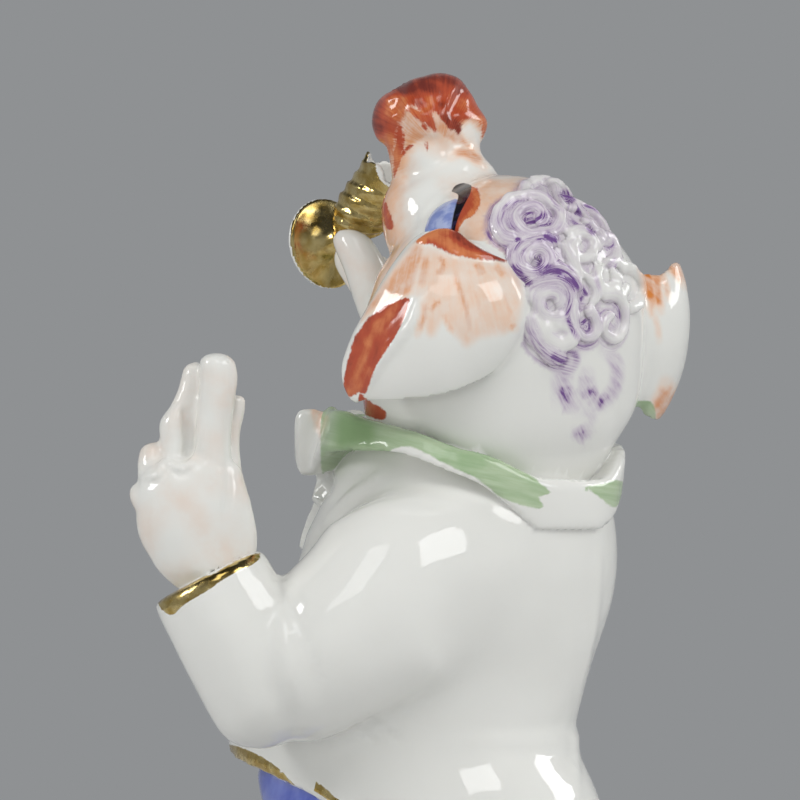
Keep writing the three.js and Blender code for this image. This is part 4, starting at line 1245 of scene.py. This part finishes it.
def glazed_porcelain():
    """Hard-paste porcelain, cast and glazed, with on-glaze enamels and gilding: a clear wet gloss over warm
    white, enamels laid on in thin streaky strokes, and burnished gold on the edges."""
    material = bpy.data.materials.new("glazed_porcelain")
    material.use_nodes = True
    tree = material.node_tree
    tree.nodes.clear()
    where = add(tree, "ShaderNodeTexCoord").outputs["Object"]
    brush_field = add(tree, "ShaderNodeAttribute", {"attribute_name": "brush"}).outputs["Vector"]

    def layer(name):
        return add(tree, "ShaderNodeAttribute", {"attribute_name": name}).outputs["Fac"]

    def math_of(operation, first, second):
        node = add(tree, "ShaderNodeMath", {"operation": operation})
        for socket, value in zip(node.inputs, (first, second)):
            if isinstance(value, (int, float)):
                socket.default_value = value
            else:
                tree.links.new(value, socket)
        return node.outputs[0]

    def cloud(size_mm, detail=3.0, rough=0.55):
        return add(tree, "ShaderNodeTexNoise", {"Scale": 1000 / size_mm, "Detail": detail, "Roughness": rough},
                   Vector=where).outputs["Fac"]

    def strokes(across_mm, along_mm, shift=0.0, detail=3.0):
        spread = add(tree, "ShaderNodeMapping", {"Scale": (1 / across_mm, 1 / along_mm, 1),
                                                 "Location": (shift, shift, 0)}, Vector=brush_field)
        return add(tree, "ShaderNodeTexNoise", {"Scale": 1.0, "Detail": detail, "Roughness": 0.6},
                   Vector=spread.outputs[0]).outputs["Fac"]

    def ramp(value, low, high, out_low=0.0, out_high=1.0):
        return add(tree, "ShaderNodeMapRange", {"interpolation_type": "SMOOTHSTEP", 1: low, 2: high, 3: out_low,
                                                4: out_high}, Value=value).outputs[0]

    def blend(amount, under, over):
        node = add(tree, "ShaderNodeMix", {"data_type": "RGBA"})
        for socket, value in ((node.inputs[0], amount), (node.inputs[6], under), (node.inputs[7], over)):
            if isinstance(value, str):
                socket.default_value = linear(value)
            elif isinstance(value, (int, float)):
                socket.default_value = value
            else:
                tree.links.new(value, socket)
        return node.outputs[2]

    fray = layer("fray")

    def edge(name, ragged, soft):
        """A painted area with a ragged, slightly soft edge."""
        grain = math_of("MULTIPLY", math_of("ADD", strokes(1.0, 2.4, 3.0), cloud(1.1)), 0.5)
        rough_edge = math_of("MULTIPLY", math_of("SUBTRACT", grain, 0.5), ragged)
        rough_edge = math_of("MULTIPLY", rough_edge, fray)
        return ramp(math_of("ADD", layer(name), rough_edge), -soft, soft)

    fine = strokes(0.32, 5.0)
    broad = strokes(1.1, 9.0, 4.0)
    blots = cloud(2.2)
    body_tone = blend(ramp(cloud(38.0, 2.0), 0.35, 0.65), "E6E6E1", "E0E0DB")
    colour = body_tone
    flesh_amount = math_of("MULTIPLY", layer("flesh"), ramp(cloud(4.5), 0.3, 0.72, 0.25, 1.0))
    colour = blend(flesh_amount, colour, "DDB69A")
    peach_streaks = math_of("ADD", math_of("MULTIPLY", broad, 0.45), math_of("MULTIPLY", cloud(2.6), 0.55))
    peach = math_of("MULTIPLY", layer("peach"), ramp(peach_streaks, 0.36, 0.66, 0.5, 1.0))
    colour = blend(math_of("MULTIPLY", peach, 0.85), colour, blend(ramp(layer("peach"), 0.6, 1.25), "EAB184", "D0803F"))
    rust = edge("rust", 1.1, 0.16)
    tone = math_of("ADD", layer("tone"), math_of("MULTIPLY", math_of("SUBTRACT", broad, 0.5), 0.7))
    tone = math_of("ADD", tone, math_of("MULTIPLY", math_of("SUBTRACT", blots, 0.5), 0.7))
    rust_tone = blend(ramp(tone, -0.05, 0.5), "D07C4A", "B04626")
    rust_tone = blend(ramp(tone, 0.45, 1.05), rust_tone, "701C0C")
    colour = blend(math_of("MULTIPLY", rust, 0.97), colour, rust_tone)
    violet = math_of("MULTIPLY", layer("violet"), ramp(strokes(0.5, 4.0, 9.0), 0.3, 0.7, 0.38, 1.12))
    violet_tone = blend(ramp(violet, 0.45, 1.1), "AA90B4", "704E8A")
    colour = blend(math_of("MINIMUM", math_of("MULTIPLY", violet, 1.05), 1.0), colour, violet_tone)
    green = edge("green", 0.9, 0.2)
    green_tone = blend(ramp(strokes(1.2, 9.0, 2.0), 0.3, 0.7), "B2C4A2", "9CB48C")
    green_tone = blend(math_of("MULTIPLY", ramp(cloud(7.0), 0.5, 0.7), 0.6), green_tone, "88A878")
    green_tone = blend(layer("dark"), green_tone, "789A62")
    colour = blend(math_of("MULTIPLY", green, 0.93), colour, green_tone)
    blue = edge("blue", 0.5, 0.2)
    colour = blend(blue, colour, blend(ramp(broad, 0.35, 0.65), "5060B8", "7482CC"))
    iris = edge("iris", 0.15, 0.1)
    colour = blend(iris, colour, blend(ramp(cloud(2.8), 0.4, 0.65), "7F8EC4", "AEB9DC"))
    ink = edge("ink", 0.12, 0.1)
    colour = blend(ink, colour, blend(ramp(blots, 0.5, 0.7), "15131C", "2A2440"))
    gilt = edge("gilt", 0.8, 0.1)
    gold_tone = blend(ramp(cloud(2.4), 0.35, 0.65), "C4A65C", "E4CE90")
    colour = blend(gilt, colour, gold_tone)

    enamel = math_of("MAXIMUM", math_of("MAXIMUM", rust, green), math_of("MAXIMUM", blue, ink))
    roughness = math_of("ADD", ramp(enamel, 0.0, 1.0, 0.05, 0.09),
                        math_of("MULTIPLY", gilt, ramp(cloud(1.6), 0.3, 0.7, 0.08, 0.24)))
    wave = add(tree, "ShaderNodeBump", {"Strength": 0.35, "Distance": 0.0001},
               Height=cloud(5.0, 2.0)).outputs[0]
    bump = add(tree, "ShaderNodeBump", {"Strength": 0.4, "Distance": 0.00004},
               Height=math_of("MULTIPLY", rust, broad), Normal=wave).outputs[0]
    shader = add(tree, "ShaderNodeBsdfPrincipled", {"IOR": 1.52, "Subsurface Weight": 0.08,
                                                    "Subsurface Scale": 0.0015,
                                                    "Subsurface Radius": (1.0, 0.9, 0.8)})
    tree.links.new(colour, shader.inputs["Base Color"])
    tree.links.new(roughness, shader.inputs["Roughness"])
    tree.links.new(gilt, shader.inputs["Metallic"])
    tree.links.new(bump, shader.inputs["Normal"])
    output = add(tree, "ShaderNodeOutputMaterial")
    tree.links.new(shader.outputs[0], output.inputs["Surface"])
    return material


pig.data.polygons.foreach_set("material_index", [0] * len(pig.data.polygons))
pig.data.materials.clear()
pig.data.materials.append(glazed_porcelain())
pig.data.transform(Matrix.Scale(MM, 4))
pig.data.polygons.foreach_set("use_smooth", [True] * len(pig.data.polygons))
pig.data.update()
pig.name = "porcelain_pig"
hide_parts(NODE)
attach(pig, "root")

# ---------------------------------------------------------------- studio

def plain_material(name, colour, rough):
    material = bpy.data.materials.new(name)
    material.use_nodes = True
    shader = material.node_tree.nodes["Principled BSDF"]
    shader.inputs["Base Color"].default_value = linear(colour)
    shader.inputs["Roughness"].default_value = rough
    return material


disc = bmesh.new()
bmesh.ops.create_circle(disc, cap_ends=True, segments=64, radius=0.45)
floor_mesh = bpy.data.meshes.new("studio_floor")
disc.to_mesh(floor_mesh)
floor = bpy.data.objects.new("studio_floor", floor_mesh)
floor_mesh.materials.append(plain_material("studio_paper", "D8D8D8", 0.7))
bpy.context.scene.collection.objects.link(floor)

FRAME_WIDTH = 800 / 6 * MM
CAMERA_REACH = 2.0
camera = bpy.data.cameras.new("camera")
camera.sensor_width = 36
camera.lens = 36 * CAMERA_REACH / FRAME_WIDTH
camera.clip_end = 10
camera_object = bpy.data.objects.new("camera", camera)
target = shown(-20 / 6, 8, 150) * MM
camera_object.location = target + NEAR * CAMERA_REACH
camera_object.rotation_euler = (-NEAR).to_track_quat("-Z", "Y").to_euler()
bpy.context.scene.collection.objects.link(camera_object)
bpy.context.scene.camera = camera_object


def softbox(name, place, size, power, aim=(0, 8, 150), glossy=True):
    lamp = bpy.data.lights.new(name, "AREA")
    lamp.shape = "RECTANGLE"
    lamp.size, lamp.size_y = size
    lamp.energy = power
    made = bpy.data.objects.new(name, lamp)
    made.location = shown(*place) * MM
    made.rotation_euler = (shown(*aim) * MM - made.location).to_track_quat("-Z", "Y").to_euler()
    made.visible_glossy = glossy
    bpy.context.scene.collection.objects.link(made)


softbox("softbox_main", (800, 590, 950), (0.55, 0.6), 4.2)
softbox("softbox_high", (-130, 853, 1125), (0.35, 0.6), 1.3)
softbox("softbox_left", (-1112, 335, 739), (0.3, 0.36), 3.8)
softbox("softbox_right", (860, -380, 600), (0.34, 0.4), 2.0)
softbox("fill_right", (1100, 500, 300), (0.9, 0.9), 4.0, glossy=False)
softbox("fill_high", (0, 900, 1800), (1.2, 1.2), 9.5, glossy=False)
softbox("fill_low", (-1400, 1500, -250), (1.6, 1.6), 17.5, glossy=False)
softbox("fill", (0, 2600, 250), (2.4, 2.0), 1.0)

world = bpy.data.worlds.new("studio_grey")
world.use_nodes = True
backdrop = world.node_tree.nodes["Background"]
sky = add(world.node_tree, "ShaderNodeTexCoord").outputs["Generated"]
height = add(world.node_tree, "ShaderNodeSeparateXYZ", i0=sky).outputs["Z"]
overhead = add(world.node_tree, "ShaderNodeMapRange", {1: 0.3, 2: 0.75}, Value=height).outputs[0]
shade = add(world.node_tree, "ShaderNodeMix", {"data_type": "RGBA", 6: linear("8F9193"), 7: linear("3C3D3E")}, i0=overhead)
world.node_tree.links.new(shade.outputs[2], backdrop.inputs["Color"])
backdrop.inputs["Strength"].default_value = 1.0
bpy.context.scene.world = world
bpy.context.scene.view_settings.view_transform = "Standard"
